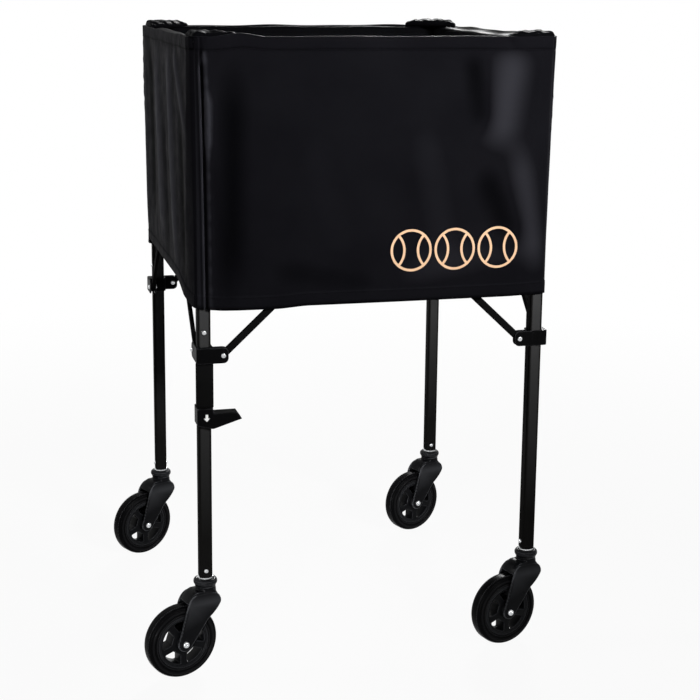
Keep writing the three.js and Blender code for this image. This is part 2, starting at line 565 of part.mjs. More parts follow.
// Brace: a flattened tube along X, its middle at zero, with holes for two pins. The inner brace
// holds the rivet of the crossing, which passes through a hole in the outer brace.
function braceGeometry(holdsRivet) {
  const half = BAR_LENGTH / 2;
  const radius = BAR_WIDTH / 2;
  const shape = new THREE.Shape();
  shape.moveTo(-half, -radius);
  shape.lineTo(half, -radius);
  shape.absarc(half, 0, radius, -Math.PI / 2, Math.PI / 2);
  shape.lineTo(-half, radius);
  shape.absarc(-half, 0, radius, Math.PI / 2, Math.PI * 1.5);
  const bar = slabOnY(shape, -BAR_DEPTH / 2, BAR_DEPTH / 2, BAR_END_SEGMENTS);
  const hollowZ = radius - BAR_WALL;
  const hollowY = BAR_DEPTH / 2 - BAR_WALL;
  const hollowX = half + radius + CUT_OVERRUN;
  const hollow = boxBetween([-hollowX, -hollowY, -hollowZ], [hollowX, hollowY, hollowZ]);
  const through = BAR_DEPTH / 2 + CUT_OVERRUN;
  const holes = [-half, half].map((x) => rodAlongY(boreRadius(HOLE_RADIUS), -through, through, x, 0));
  let solid = cut(toSolid(bar), hollow, ...holes);
  if (!holdsRivet) {
    solid = cut(solid, rodAlongY(boreRadius(HOLE_RADIUS), -through, through, 0, 0));
  } else {
    const near = BAR_DEPTH / 2;
    const far = near + FIT + BAR_DEPTH + FIT;
    const rivet = rodAlongY(PIN_RADIUS, -far - RIVET_HEAD_HEIGHT / 2, near, 0, 0);
    const farHead = rodAlongY(RIVET_HEAD_RADIUS, -far - RIVET_HEAD_HEIGHT, -far, 0, 0);
    const nearHead = rodAlongY(RIVET_HEAD_RADIUS, near, near + RIVET_HEAD_HEIGHT, 0, 0);
    solid = solid.add(toSolid(rivet)).add(toSolid(farHead)).add(toSolid(nearHead));
  }
  return toGeometry(solid);
}

// Link and pedal, in the front left leg's own frame
function linkGeometry() {
  const top = LOWER_PIVOT_HEIGHT - SLIDER_HEIGHT / 2 - FIT;
  const bottom = top - LINK_LENGTH;
  const back = -BORE_HALF;
  const front = back - LINK_THICKNESS;
  const side = BORE_HALF + LINK_THICKNESS;
  const plate = boxBetween([-side, front, bottom], [side, back, top]);
  const left = boxBetween([-side, front, bottom], [-BORE_HALF, back + LINK_FLANGE, top]);
  const right = boxBetween([BORE_HALF, front, bottom], [side, back + LINK_FLANGE, top]);
  return toGeometry(join(plate, left, right));
}

function pedalGeometry() {
  const top = LOWER_PIVOT_HEIGHT - SLIDER_HEIGHT / 2 - LINK_LENGTH - FIT * 2;
  const bottom = top - PEDAL_HEIGHT;
  const side = BORE_HALF + CHEEK;
  const face = side + PEDAL_FACE;
  const tread = top - PEDAL_TREAD_DROP;
  const outline = new THREE.Shape();
  outline.moveTo(-side, bottom);
  outline.lineTo(side * PEDAL_CHIN_SHARE, bottom - PEDAL_CHIN);
  outline.lineTo(side, bottom - PEDAL_CHIN);
  outline.lineTo(PEDAL_REACH, tread - PEDAL_TIP_HEIGHT);
  outline.lineTo(PEDAL_REACH - PEDAL_TIP_SLOPE, tread);
  outline.lineTo(side, tread);
  outline.lineTo(side * PEDAL_TOP_SHARE, top);
  outline.lineTo(-side, top);
  const front = slabOnY(outline, -face, -BORE_HALF);
  const collar = boxBetween([-side, -face + PEDAL_FACE, bottom], [side, side, top]);
  const treadShape = new THREE.Shape();
  treadShape.moveTo(BORE_HALF + FIT, bottom - PEDAL_CHIN * PEDAL_WEB_SHARE);
  treadShape.lineTo(PEDAL_REACH, tread - PEDAL_TIP_HEIGHT);
  treadShape.lineTo(PEDAL_REACH - PEDAL_TIP_SLOPE, tread);
  treadShape.lineTo(BORE_HALF + FIT, tread);
  const treadSlab = slabOnY(treadShape, -face, PEDAL_DEPTH - face);
  const below = bottom - PEDAL_CHIN - CUT_OVERRUN;
  const bore = legBore(below, top + CUT_OVERRUN);
  return toGeometry(cut(join(front, collar, treadSlab), bore));
}

// Bag panels, in the frame of one side: X runs along it, -Y is outwards
const PANEL_COLUMN_SHARES = [0, 0.034, 0.11, 0.25, 0.5, 0.75, 0.89, 0.966, 1];
const PANEL_ROW_SHARES = [0, 0.06, 0.2, 0.45, 0.75, 1];
const EASE_TOP_SHARE = 0.034;    // how much of a panel, at the top, turns in to its corner
const EASE_BOTTOM_SHARE = 0.11;  // the same at the hem

const ease = (share) => Math.min(1, Math.max(0, share)) ** 0.8;
const cornerReach = (v) => CORNER_REACH_BOTTOM + (CORNER_REACH_TOP - CORNER_REACH_BOTTOM) * (1 - v) ** 3;

function skirtReach(u, v) {
  const fromCorner = Math.min(u, 1 - u);
  const easing = EASE_TOP_SHARE + (EASE_BOTTOM_SHARE - EASE_TOP_SHARE) * v ** 2;
  return cornerReach(v) + (SKIRT_REACH - cornerReach(v)) * ease(fromCorner / easing);
}

function skirtGeometry() {
  const hem = (u, v) => RIM_HEIGHT - v * (SKIRT_DEPTH + HEM_SAG * Math.sin(u * Math.PI));
  const faceAt = (inset) => (u, v) => {
    const half = HALF_PITCH + cornerReach(v) - inset - FIT / 2;
    return new THREE.Vector3((u * 2 - 1) * half, -(skirtReach(u, v) - inset), hem(u, v));
  };
  return sheetBetween(faceAt(0), faceAt(CLOTH), PANEL_COLUMN_SHARES, PANEL_ROW_SHARES);
}

function linerGeometry() {
  const bottom = FLOOR_HEIGHT - FLOOR_THICKNESS;
  const path = [
    [SHELF_REACH, SHELF_HEIGHT],
    [LINER_REACH, SHELF_HEIGHT],
    [LINER_REACH, bottom],
  ];
  const faceAt = (inset) => (u, v) => {
    const [reach, z] = path[Math.round(v * 2)];
    const out = v === 0 ? reach : reach - inset;
    const rise = v < 1 ? inset : 0;
    const half = HALF_PITCH + out - FIT / 2;
    return new THREE.Vector3((u * 2 - 1) * half, -out, z + rise);
  };
  const columnShares = [0, 0.25, 0.5, 0.75, 1];
  const rowShares = [0, 0.5, 1];
  return sheetBetween(faceAt(0), faceAt(CLOTH), columnShares, rowShares);
}

// Half of the floor: from its hinge line at the front liner to the middle of the bag
function floorGeometry() {
  const half = HALF_PITCH + LINER_REACH - CLOTH - FIT;
  const faceAt = (drop) => (u, v) => {
    const sag = FLOOR_SAG * Math.sin(u * Math.PI) * Math.sin(v * Math.PI / 2);
    const y = -half + v * (half - FIT / 2);
    return new THREE.Vector3((u * 2 - 1) * half, y, FLOOR_HEIGHT - sag - drop);
  };
  const columnShares = [0, 0.2, 0.5, 0.8, 1];
  const rowShares = [0, 0.33, 0.66, 1];
  return sheetBetween(faceAt(FLOOR_THICKNESS), faceAt(0), columnShares, rowShares);
}

// The pocket's spread from the leg's centre and its rise, as shares of its foot and its height
const POCKET_LEVEL_SHARES = [[1, 0], [1, 0.45], [0.9, 0.8], [0.6, 1]];

// The pocket over a leg's top: a padded three-cornered flap across the corner of the rim
function pocketGeometry() {
  const bottom = SHELF_HEIGHT + CLOTH + FIT;
  const foot = [
    [-SHELF_REACH, -SHELF_REACH],
    [POCKET_REACH, -SHELF_REACH],
    [POCKET_REACH, POCKET_POINT - SHELF_REACH],
    [POCKET_POINT - SHELF_REACH, POCKET_REACH],
    [-SHELF_REACH, POCKET_REACH],
  ];
  const rings = POCKET_LEVEL_SHARES.map(([spread, rise]) => (
    foot.map(([x, y]) => [x * spread, y * spread, bottom + rise * POCKET_HEIGHT])));
  const count = foot.length;
  const triangles = [];
  for (let level = 0; level < rings.length - 1; level += 1) {
    for (let side = 0; side < count; side += 1) {
      const low = level * count + side;
      const lowNext = level * count + (side + 1) % count;
      triangles.push(low, lowNext, lowNext + count, low, lowNext + count, low + count);
    }
  }
  const top = (rings.length - 1) * count;
  for (let corner = 1; corner < count - 1; corner += 1) {
    triangles.push(0, corner + 1, corner, top, top + corner, top + corner + 1);
  }
  const geometry = new THREE.BufferGeometry();
  geometry.setAttribute('position', new THREE.Float32BufferAttribute(rings.flat(2), 3));
  geometry.setIndex(triangles);
  geometry.computeVertexNormals();
  return geometry;
}

// Assembly
const cart = new THREE.Group();

function add(parent, name, geometry, material) {
  const mesh = new THREE.Mesh(geometry, material);
  mesh.name = name;
  parent.add(mesh);
  return mesh;
}

const corners = ['front_left', 'front_right', 'back_right', 'back_left'];
const sides = ['front', 'right', 'back', 'left'];

corners.forEach((corner, turn) => {
  const leg = new THREE.Group();
  leg.rotation.z = turn * Math.PI / 2;
  const place = new THREE.Vector3(-HALF_PITCH, -HALF_PITCH, 0);
  leg.position.copy(place.applyAxisAngle(new THREE.Vector3(0, 0, 1), leg.rotation.z));
  cart.add(leg);
  add(leg, `leg_tube_${corner}`, legGeometry(), blackTube());
  add(leg, `top_bracket_${corner}`, topBracketGeometry(), blackPlastic());
  add(leg, `slider_${corner}`, sliderGeometry(), blackPlastic());
  add(leg, `stop_screw_${corner}`, stopScrewGeometry(), zincSteel());
  add(leg, `caster_stem_${corner}`, stemGeometry(), zincSteel());
  add(leg, `corner_pocket_${corner}`, pocketGeometry(), blackNylon());

  const caster = new THREE.Group();
  caster.rotation.z = THREE.MathUtils.degToRad(CASTER_SWING_DEGREES[corner]);
  caster.position.set(leg.position.x, leg.position.y, 0);
  cart.add(caster);
  add(caster, `caster_fork_${corner}`, forkGeometry(), blackPlastic());
  const wheel = new THREE.Group();
  wheel.position.set(-TRAIL, 0, AXLE_HEIGHT);
  caster.add(wheel);
  add(wheel, `wheel_axle_${corner}`, axleGeometry(), zincSteel());
  add(wheel, `wheel_hub_${corner}`, hubGeometry(), blackPlastic());
  add(wheel, `tyre_${corner}`, tyreGeometry(), tyreRubber());
});

sides.forEach((side, turn) => {
  const frame = new THREE.Group();
  frame.rotation.z = turn * Math.PI / 2;
  cart.add(frame);
  const rising = add(frame, `brace_outer_${side}`, braceGeometry(false), blackTube());
  rising.position.set(0, -HALF_PITCH - OUTER_BAR, CROSSING_HEIGHT);
  rising.rotation.y = -BAR_ANGLE;
  const falling = add(frame, `brace_inner_${side}`, braceGeometry(true), blackTube());
  falling.position.set(0, -HALF_PITCH - INNER_BAR, CROSSING_HEIGHT);
  falling.rotation.y = BAR_ANGLE;
  const skirt = add(frame, `skirt_${side}`, skirtGeometry(), blackNylon());
  skirt.position.y = -HALF_PITCH;
  const liner = add(frame, `liner_${side}`, linerGeometry(), blackNylon());
  liner.position.y = -HALF_PITCH;
});

['front', 'back'].forEach((side, turn) => {
  const floor = add(cart, `bag_floor_${side}`, floorGeometry(), blackNylon());
  floor.rotation.z = turn * Math.PI;
});

const pedalFrame = new THREE.Group();
pedalFrame.position.set(-HALF_PITCH, -HALF_PITCH, 0);
cart.add(pedalFrame);
add(pedalFrame, 'pedal_link', linkGeometry(), blackPlastic());
add(pedalFrame, 'drop_pedal', pedalGeometry(), blackPlastic());

// The casters all trail one way, so the origin moves to the middle of the whole cart's box
const box = new THREE.Box3().setFromObject(cart, true);
const middle = box.getCenter(new THREE.Vector3());
cart.position.set(-middle.x, -middle.y, -box.min.z);

export default cart;
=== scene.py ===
from math import copysign, atan2, cos, exp, hypot, pi, radians, sin, sqrt

import bmesh
import bpy
import numpy as np
from mathutils import Matrix, Vector


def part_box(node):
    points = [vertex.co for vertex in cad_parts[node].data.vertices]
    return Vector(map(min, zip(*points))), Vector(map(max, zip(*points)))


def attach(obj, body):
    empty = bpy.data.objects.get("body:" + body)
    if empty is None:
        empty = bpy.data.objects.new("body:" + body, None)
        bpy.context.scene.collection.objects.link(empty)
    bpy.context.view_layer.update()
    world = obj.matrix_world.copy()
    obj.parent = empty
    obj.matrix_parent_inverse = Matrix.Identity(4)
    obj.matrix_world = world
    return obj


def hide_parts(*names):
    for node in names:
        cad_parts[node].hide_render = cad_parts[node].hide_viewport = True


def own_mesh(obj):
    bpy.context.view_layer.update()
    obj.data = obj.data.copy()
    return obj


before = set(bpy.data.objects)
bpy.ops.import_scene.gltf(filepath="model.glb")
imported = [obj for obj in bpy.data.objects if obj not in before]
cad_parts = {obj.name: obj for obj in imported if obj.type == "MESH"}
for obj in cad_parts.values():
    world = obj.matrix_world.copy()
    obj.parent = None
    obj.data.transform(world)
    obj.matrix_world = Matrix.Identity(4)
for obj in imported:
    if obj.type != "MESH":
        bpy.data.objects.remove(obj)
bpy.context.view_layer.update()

# Legs
# Four square steel tubes, 22 mm across, cut to one length and powder coated in satin black.
# Each stands upright in a corner of the bag, with a caster plugged into its lower end.
CORNERS = ["front_left", "front_right", "back_right", "back_left"]
MM = 0.001
TUBE_CORNER = 2.4 * MM
COAT_EDGE = 2.4 * MM
TUBE_WALL = 1.5 * MM
# The heights, in metres, below which the legs' flat faces are painted in shade and above which they are
# painted lit
PAINTED_LIGHT_HEIGHTS = (0.24, 0.63)

low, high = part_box("leg_tube_front_left")
far_low, far_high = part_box("leg_tube_back_right")
TUBE_HALF = (high.x - low.x) / 2
LEG_BOTTOM = low.z
LEG_TOP = high.z
HALF_PITCH = (far_low.x - low.x) / 2
CART_CENTRE = Vector(((low.x + far_high.x) / 2, (low.y + far_high.y) / 2, 0))


def corner_place(corner):
    """From a leg's own frame, with both braces along +X and +Y, to the cart's."""
    turn = Matrix.Rotation(CORNERS.index(corner) * pi / 2, 4, "Z")
    return Matrix.Translation(CART_CENTRE) @ turn @ Matrix.Translation((-HALF_PITCH, -HALF_PITCH, 0))


def link(name, mesh):
    """A new piece of the scene."""
    piece = bpy.data.objects.new(name, mesh)
    bpy.context.scene.collection.objects.link(piece)
    return piece


def smoothed(mesh, angle):
    mesh.polygons.foreach_set("use_smooth", [True] * len(mesh.polygons))
    mesh.set_sharp_from_angle(angle=radians(angle))
    return mesh


def made_mesh(piece):
    """The plain mesh that a piece and its modifiers make, in its place. The piece itself goes."""
    bpy.context.view_layer.update()
    depsgraph = bpy.context.evaluated_depsgraph_get()
    mesh = bpy.data.meshes.new_from_object(piece.evaluated_get(depsgraph), depsgraph=depsgraph)
    mesh.transform(piece.matrix_world)
    bpy.data.objects.remove(piece)
    return mesh


def finish_mesh(piece, smooth_angle=40):
    """Turns the piece and its modifiers into one clean mesh at the origin."""
    name = piece.name
    mesh = made_mesh(piece)
    shape = bmesh.new()
    shape.from_mesh(mesh)
    bmesh.ops.remove_doubles(shape, verts=shape.verts, dist=1e-6)
    bmesh.ops.recalc_face_normals(shape, faces=shape.faces)
    shape.to_mesh(mesh)
    shape.free()
    return link(name, smoothed(mesh, smooth_angle))


def copy_to(piece, name, matrix):
    mesh = piece.data.copy()
    mesh.transform(matrix)
    return link(name, mesh)


def dress(piece, body, slot, material, *nodes):
    """Gives the piece its material, the body it moves with and the nodes it stands for."""
    piece.data.materials.clear()
    piece.data.materials.append(material)
    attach(piece, body)
    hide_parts(*nodes)


def fit_corners(piece, name, place, body, slot, material, node_name):
    """One copy of the piece at each corner, in place of that corner's node."""
    for corner in CORNERS:
        turned = copy_to(piece, f"{name}_{corner}", place(corner))
        dress(turned, f"{body}_{corner}", slot, material, f"{node_name}_{corner}")
    bpy.data.objects.remove(piece)


def new_material(name):
    material = bpy.data.materials.new(name)
    material.use_nodes = True
    return material, material.node_tree


def feed(tree, sockets, values):
    """Gives each socket its value, or a link from the output that it is given."""
    for key, value in values.items():
        socket = sockets[key]
        if isinstance(value, bpy.types.NodeSocket):
            tree.links.new(value, socket)
        elif socket.type == "RGBA":
            socket.default_value = (*value, 1)
        else:
            socket.default_value = value


def node(tree, kind, inputs={}, **settings):
    made = tree.nodes.new(kind)
    for name, value in settings.items():
        setattr(made, name, value)
    feed(tree, made.inputs, inputs)
    return made


def result(tree, operation, *values):
    return node(tree, "ShaderNodeMath", dict(enumerate(values)), operation=operation).outputs["Value"]


def object_noise(tree, scale, detail=4.0):
    """A noise pattern on Object coordinates, in cycles per metre."""
    place = node(tree, "ShaderNodeTexCoord").outputs["Object"]
    noise = node(tree, "ShaderNodeTexNoise", {"Vector": place, "Scale": scale, "Detail": detail})
    return noise.outputs["Fac"]


def ramp(tree, source, start, end, low_value, high_value):
    """Maps the source between two thresholds to a span of values."""
    span = {"Value": source, "From Min": start, "From Max": end, "To Min": low_value, "To Max": high_value}
    return node(tree, "ShaderNodeMapRange", span).outputs["Result"]


def mixed_colour(tree, factor, first, second):
    return node(tree, "ShaderNodeMix", {0: factor, 6: first, 7: second}, data_type="RGBA").outputs[2]


def bump(tree, height, strength, distance, **below):
    inputs = {"Height": height, "Strength": strength, "Distance": distance}
    return node(tree, "ShaderNodeBump", inputs | below).outputs["Normal"]


def surface(tree, base, roughness, normal, shine, others={}):
    """Feeds the shader its colour, roughness and relief, and how strongly it shines."""
    inputs = {"Base Color": base, "Roughness": roughness, "Normal": normal, "Specular IOR Level": shine}
    feed(tree, tree.nodes["Principled BSDF"].inputs, inputs | others)


def coated_steel(name, colour, worn_colour, painted_shade_colour=None):
    """Satin powder coat: faint orange peel and duller patches. Given a shade colour, it paints a lit band up
    the middle of each flat face, with painted shade at the corners and lower down.
    """
    material, tree = new_material(name)
    patches = object_noise(tree, 14)
    peel = object_noise(tree, 900, 2)
    base = mixed_colour(tree, ramp(tree, patches, 0.52, 0.74, 0, 1), colour, worn_colour)
    # Painted light: the coat's own colours show only up the middle of each face and above the set heights;
    # elsewhere the face is painted in the shade colour.
    if painted_shade_colour:
        place = node(tree, "ShaderNodeTexCoord").outputs["Object"]
        axes = node(tree, "ShaderNodeSeparateXYZ", {"Vector": place}).outputs
        painted_lit_band = node(tree, "ShaderNodeAttribute", attribute_name="face").outputs["Fac"]
        painted_lit_share = result(tree, "MULTIPLY", ramp(tree, axes["Z"], *PAINTED_LIGHT_HEIGHTS, 0, 1), painted_lit_band)
        base = mixed_colour(tree, painted_lit_share, painted_shade_colour, base)
    surface(tree, base, ramp(tree, patches, 0.3, 0.7, 0.56, 0.68), bump(tree, peel, 0.14, 0.0002), 0.002)
    return material


# The legs' first two colours are a painted lit tone; the third is their painted shade.
leg_paint = coated_steel("satin_black_leg", (0.036, 0.036, 0.0365), (0.042, 0.042, 0.0425),
                         (0.0058, 0.0056, 0.0054))


def rounded_outline(half_x, half_y, corner, steps):
    """A rectangle about the origin with rounded corners."""
    points = []
    for quarter, (side_x, side_y) in enumerate(((1, 1), (-1, 1), (-1, -1), (1, -1))):
        for step in range(steps + 1):
            angle = (quarter + step / steps) * pi / 2
            points.append((side_x * (half_x - corner) + corner * cos(angle),
                           side_y * (half_y - corner) + corner * sin(angle)))
    return points


def plate(name, loops, thickness, bevel=0.0, bevel_steps=2):
    """A flat piece cut to an outline, holes included, with rounded edges, its middle at zero."""
    curve = bpy.data.curves.new(name, "CURVE")
    curve.dimensions = "2D"
    curve.fill_mode = "BOTH"
    curve.extrude = max(thickness / 2 - bevel, 1e-6)
    curve.bevel_depth = bevel
    curve.bevel_resolution = bevel_steps
    curve.offset = -bevel
    for loop in loops:
        spline = curve.splines.new("POLY")
        spline.points.add(len(loop) - 1)
        for point, (x, y) in zip(spline.points, loop):
            point.co = (x, y, 0, 1)
        spline.use_cyclic_u = True
    return link(name, curve)


def face_lines(outline, inset):
    """The outline with two more points on each flat side, an inset away from its corners."""
    points = []
    for index, point in enumerate(outline):
        following = outline[(index + 1) % len(outline)]
        length = hypot(following[0] - point[0], following[1] - point[1])
        points.append(point)
        if length > 2.5 * inset:
            for share in (inset / length, 1 - inset / length):
                points.append(tuple(a + (b - a) * share for a, b in zip(point, following)))
    return points


bore = TUBE_HALF - TUBE_WALL
tube_outline = face_lines(rounded_outline(TUBE_HALF, TUBE_HALF, TUBE_CORNER, 5), COAT_EDGE)
tube_hollow = rounded_outline(bore, bore, TUBE_CORNER - TUBE_WALL, 1)
tube = plate("tube", [tube_outline, tube_hollow], LEG_TOP - LEG_BOTTOM)
tube.location.z = (LEG_TOP + LEG_BOTTOM) / 2
tube = finish_mesh(tube)
# The face mark is one on the middle of each flat face, where the coat paints its lit band, and zero near the
# rounded corners, which are painted in shade.
face = tube.data.attributes.new("face", "FLOAT", "POINT")
for vertex, mark in zip(tube.data.vertices, face.data):
    nearer = min(abs(vertex.co.x), abs(vertex.co.y))
    mark.value = 1 if nearer < TUBE_HALF - TUBE_CORNER - COAT_EDGE / 2 else 0
fit_corners(tube, "leg", corner_place, "leg", "black_tube", leg_paint, "leg_tube")

# Caster stems
# A turned steel stem plugged into the leg, with a zinc washer that shows above the caster's neck.
# It turns in the neck and is held in the leg by a bolt with a button head on each side.
PLUG_RADIUS = 9.0 * MM
KINGPIN_RADIUS = 5.6 * MM
NECK_TOP = LEG_BOTTOM - 3.5 * MM
CROWN_BOTTOM = 131 * MM
STEM_BOLT_HEIGHT = LEG_BOTTOM + 11.5 * MM


def in_mm(points, height=0):
    """An outline given in millimetres, from a height up."""
    return [(x * MM, height + y * MM) for x, y in points]


def piece_from(shape, name):
    """Ends a bmesh as a piece of its own."""
    mesh = bpy.data.meshes.new(name)
    shape.to_mesh(mesh)
    shape.free()
    return link(name, mesh)


def lathe(name, profile, steps=48):
    """Turns a profile of (radius, height) points round the Z axis. Points on the axis close it."""
    shape = bmesh.new()
    rings = []
    turns = [2 * pi * step / steps for step in range(steps)]
    for radius, height in profile:
        around = turns if radius > 1e-7 else turns[:1]
        rings.append([shape.verts.new((radius * cos(t), radius * sin(t), height)) for t in around])
    for lower, upper in zip(rings, rings[1:]):
        for step in range(steps):
            after = (step + 1) % steps
            corners = [lower[step % len(lower)], lower[after % len(lower)],
                       upper[after % len(upper)], upper[step % len(upper)]]
            distinct = list(dict.fromkeys(corners))
            if len(distinct) > 2:
                shape.faces.new(distinct)
    bmesh.ops.recalc_face_normals(shape, faces=shape.faces)
    piece = piece_from(shape, name)
    smoothed(piece.data, 40)
    return piece


def bright_zinc(name):
    """Bright zinc plate: fine crystalline mottling."""
    material, tree = new_material(name)
    mottling = object_noise(tree, 700, 3)
    base = mixed_colour(tree, mottling, (0.50, 0.51, 0.52), (0.66, 0.67, 0.68))
    surface(tree, base, ramp(tree, mottling, 0.3, 0.7, 0.2, 0.34), bump(tree, mottling, 0.08, 0.0001), 0.5,
            {"Metallic": 1})
    return material


zinc = bright_zinc("bright_zinc")

stem = lathe("stem", (
    in_mm([(0, 0.5), (8.2, 0.5), (8.8, 1.1), (8.8, 3)], CROWN_BOTTOM)
    + [(KINGPIN_RADIUS, CROWN_BOTTOM + 3 * MM), (KINGPIN_RADIUS, NECK_TOP + 0.3 * MM)]
    + in_mm([(13, 0.3), (13.5, 0.8), (13.5, 2.6), (12.8, 3.1)], NECK_TOP)
    + [(PLUG_RADIUS, NECK_TOP + 3.2 * MM), (PLUG_RADIUS, LEG_BOTTOM + 33 * MM), (0, LEG_BOTTOM + 34 * MM)]
))
fit_corners(stem, "stem", corner_place, "leg", "zinc_steel", zinc, "caster_stem")

# Button heads and rivets: one turned head, placed on every screw of a body.
HEAD_PROFILE = [(0, 0.45), (0.3, 0.45), (0.42, 0.62), (0.42, 0.97), (0.55, 1.0), (0.78, 0.86),
                (0.94, 0.55), (1, 0.25), (1, 0), (0, 0)]
button_head = lathe("button_head", HEAD_PROFILE, 24)


def new_tree(name, inputs):
    """A tree for a modifier, with its named inputs as (name, kind, value)."""
    tree = bpy.data.node_groups.new(name, "GeometryNodeTree")
    sockets = tree.interface
    sockets.new_socket("Geometry", in_out="INPUT", socket_type="NodeSocketGeometry")
    for label, kind, value in inputs:
        socket = sockets.new_socket(label, in_out="INPUT", socket_type=f"NodeSocket{kind}")
        if value is not None:
            socket.default_value = value
    sockets.new_socket("Geometry", in_out="OUTPUT", socket_type="NodeSocketGeometry")
    return tree, node(tree, "NodeGroupInput").outputs


def end_tree(tree, geometry, finish):
    """Ends a tree: what it placed is made real and gets its material."""
    real = node(tree, "GeometryNodeRealizeInstances", {"Geometry": geometry}).outputs["Geometry"]
    finished = node(tree, "GeometryNodeSetMaterial", {"Geometry": real, "Material": finish})
    node(tree, "NodeGroupOutput", {"Geometry": finished.outputs["Geometry"]})
    return tree


def set_on_points(tree, points, piece, **turn_and_size):
    """Sets the piece on each of the points."""
    inputs = {"Points": points, "Instance": piece} | turn_and_size
    return node(tree, "GeometryNodeInstanceOnPoints", inputs).outputs["Instances"]


def screw_tree():
    """Sets one head on each point, facing along the point's facing and to the point's size."""
    tree, entry = new_tree("Screw heads", [("Head", "Object", None), ("Finish", "Material", None)])
    head = node(tree, "GeometryNodeObjectInfo", {"Object": entry["Head"]}).outputs["Geometry"]
    facing, size = [node(tree, "GeometryNodeInputNamedAttribute", {"Name": name}, data_type="FLOAT_VECTOR")
                    for name in ("facing", "size")]
    turn = node(tree, "FunctionNodeAlignRotationToVector", {"Vector": facing.outputs["Attribute"]}, axis="Z")
    heads = set_on_points(tree, entry["Geometry"], head, Rotation=turn.outputs["Rotation"],
                          Scale=size.outputs["Attribute"])
    return end_tree(tree, heads, entry["Finish"])


def set_input(modifier, name, value):
    for item in modifier.node_group.interface.items_tree:
        if item.item_type == "SOCKET" and item.in_out == "INPUT" and item.name == name:
            modifier[item.identifier] = value


SCREWS = screw_tree()


def screw_heads(name, heads, matrix, body, node_name):
    """Bright heads on one body, each given as (place, facing, radius, height) in the matrix's frame."""
    mesh = bpy.data.meshes.new(name)
    mesh.from_pydata([matrix @ Vector(place) for place, _, _, _ in heads], [], [])
    facing = mesh.attributes.new("facing", "FLOAT_VECTOR", "POINT")
    size = mesh.attributes.new("size", "FLOAT_VECTOR", "POINT")
    for index, (_, direction, radius, height) in enumerate(heads):
        facing.data[index].vector = matrix.to_3x3() @ Vector(direction)
        size.data[index].vector = (radius, radius, height)
    piece = link(name, mesh)
    modifier = piece.modifiers.new("heads", "NODES")
    modifier.node_group = SCREWS
    set_input(modifier, "Head", button_head)
    set_input(modifier, "Finish", zinc)
    dress(finish_mesh(piece), body, "zinc_steel", zinc, node_name)


FRONT = (0, -1, 0)
REAR = (0, 1, 0)
STOP_SCREW_HEIGHT = (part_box("stop_screw_front_left")[0].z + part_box("stop_screw_front_left")[1].z) / 2
for corner in CORNERS:
    heads = [
        ((0, -TUBE_HALF, STEM_BOLT_HEIGHT), FRONT, 3.9 * MM, 2.6 * MM),
        ((0, TUBE_HALF, STEM_BOLT_HEIGHT), REAR, 3.9 * MM, 2.6 * MM),
        ((0, -TUBE_HALF, STOP_SCREW_HEIGHT), FRONT, 4.0 * MM, 2.6 * MM),
    ]
    screw_heads(f"leg_screws_{corner}", heads, corner_place(corner), f"leg_{corner}", f"stop_screw_{corner}")

# Caster forks
# One moulding of black nylon: a round neck, a crown over the wheel and two arms down to the axle.
# The arms lean back, so that the axle trails the stem and the caster follows the cart.
CROWN_TOP = 150 * MM
TRAIL = 47.5 * MM
AXLE_HEIGHT = 63.5 * MM
FORK_INSIDE = 17.3 * MM
FORK_OUTSIDE = 22.3 * MM
AXLE_BOSS_RADIUS = 13.5 * MM


def step_up(value, start, end):
    share = min(1, max(0, (value - start) / (end - start)))
    return share * share * (3 - 2 * share)


def bulge(value, width):
    return exp(-(value / width) ** 2)


def swing_place(corner):
    """From a caster's own frame, with the wheel trailing along -X, to the cart's."""
    axle_low, axle_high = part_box(f"wheel_axle_{corner}")
    axle = (axle_low + axle_high) / 2
    stem_place = corner_place(corner).translation
    angle = atan2(stem_place.y - axle.y, stem_place.x - axle.x)
    return Matrix.Translation(stem_place) @ Matrix.Rotation(angle, 4, "Z")


def quadratic(start, bend, end, steps=10):
    points = []
    for step in range(steps + 1):
        t = step / steps
        points.append(tuple((1 - t) ** 2 * a + 2 * t * (1 - t) * b + t * t * c
                            for a, b, c in zip(start, bend, end)))
    return points


def fork_outline(top):
    front = quadratic(*in_mm([(20, 128), (14, 115), (-4, 101)]))
    leave = -pi * 0.22
    arrive = -pi * 0.98
    turns = [leave + (arrive - leave) * step / 16 for step in range(17)]
    boss = [(AXLE_BOSS_RADIUS * cos(t) - TRAIL, AXLE_BOSS_RADIUS * sin(t) + AXLE_HEIGHT) for t in turns]
    bend, heel, shoulder_bend = in_mm([(-52.7, 91), (-44, 122), (-37, 147)])
    rear = quadratic(boss[-1], bend, heel)
    shoulder = quadratic(heel, shoulder_bend, (-22 * MM, top))
    nose = quadratic((2 * MM, top), (19.5 * MM, top), (20.5 * MM, 131 * MM), 12)
    return front + boss + rear[1:] + shoulder[1:] + nose


def joined(pieces, name):
    """Joins pieces into one."""
    shape = bmesh.new()
    for piece in pieces:
        made = finish_mesh(piece)
        shape.from_mesh(made.data)
        bpy.data.objects.remove(made)
    return piece_from(shape, name)


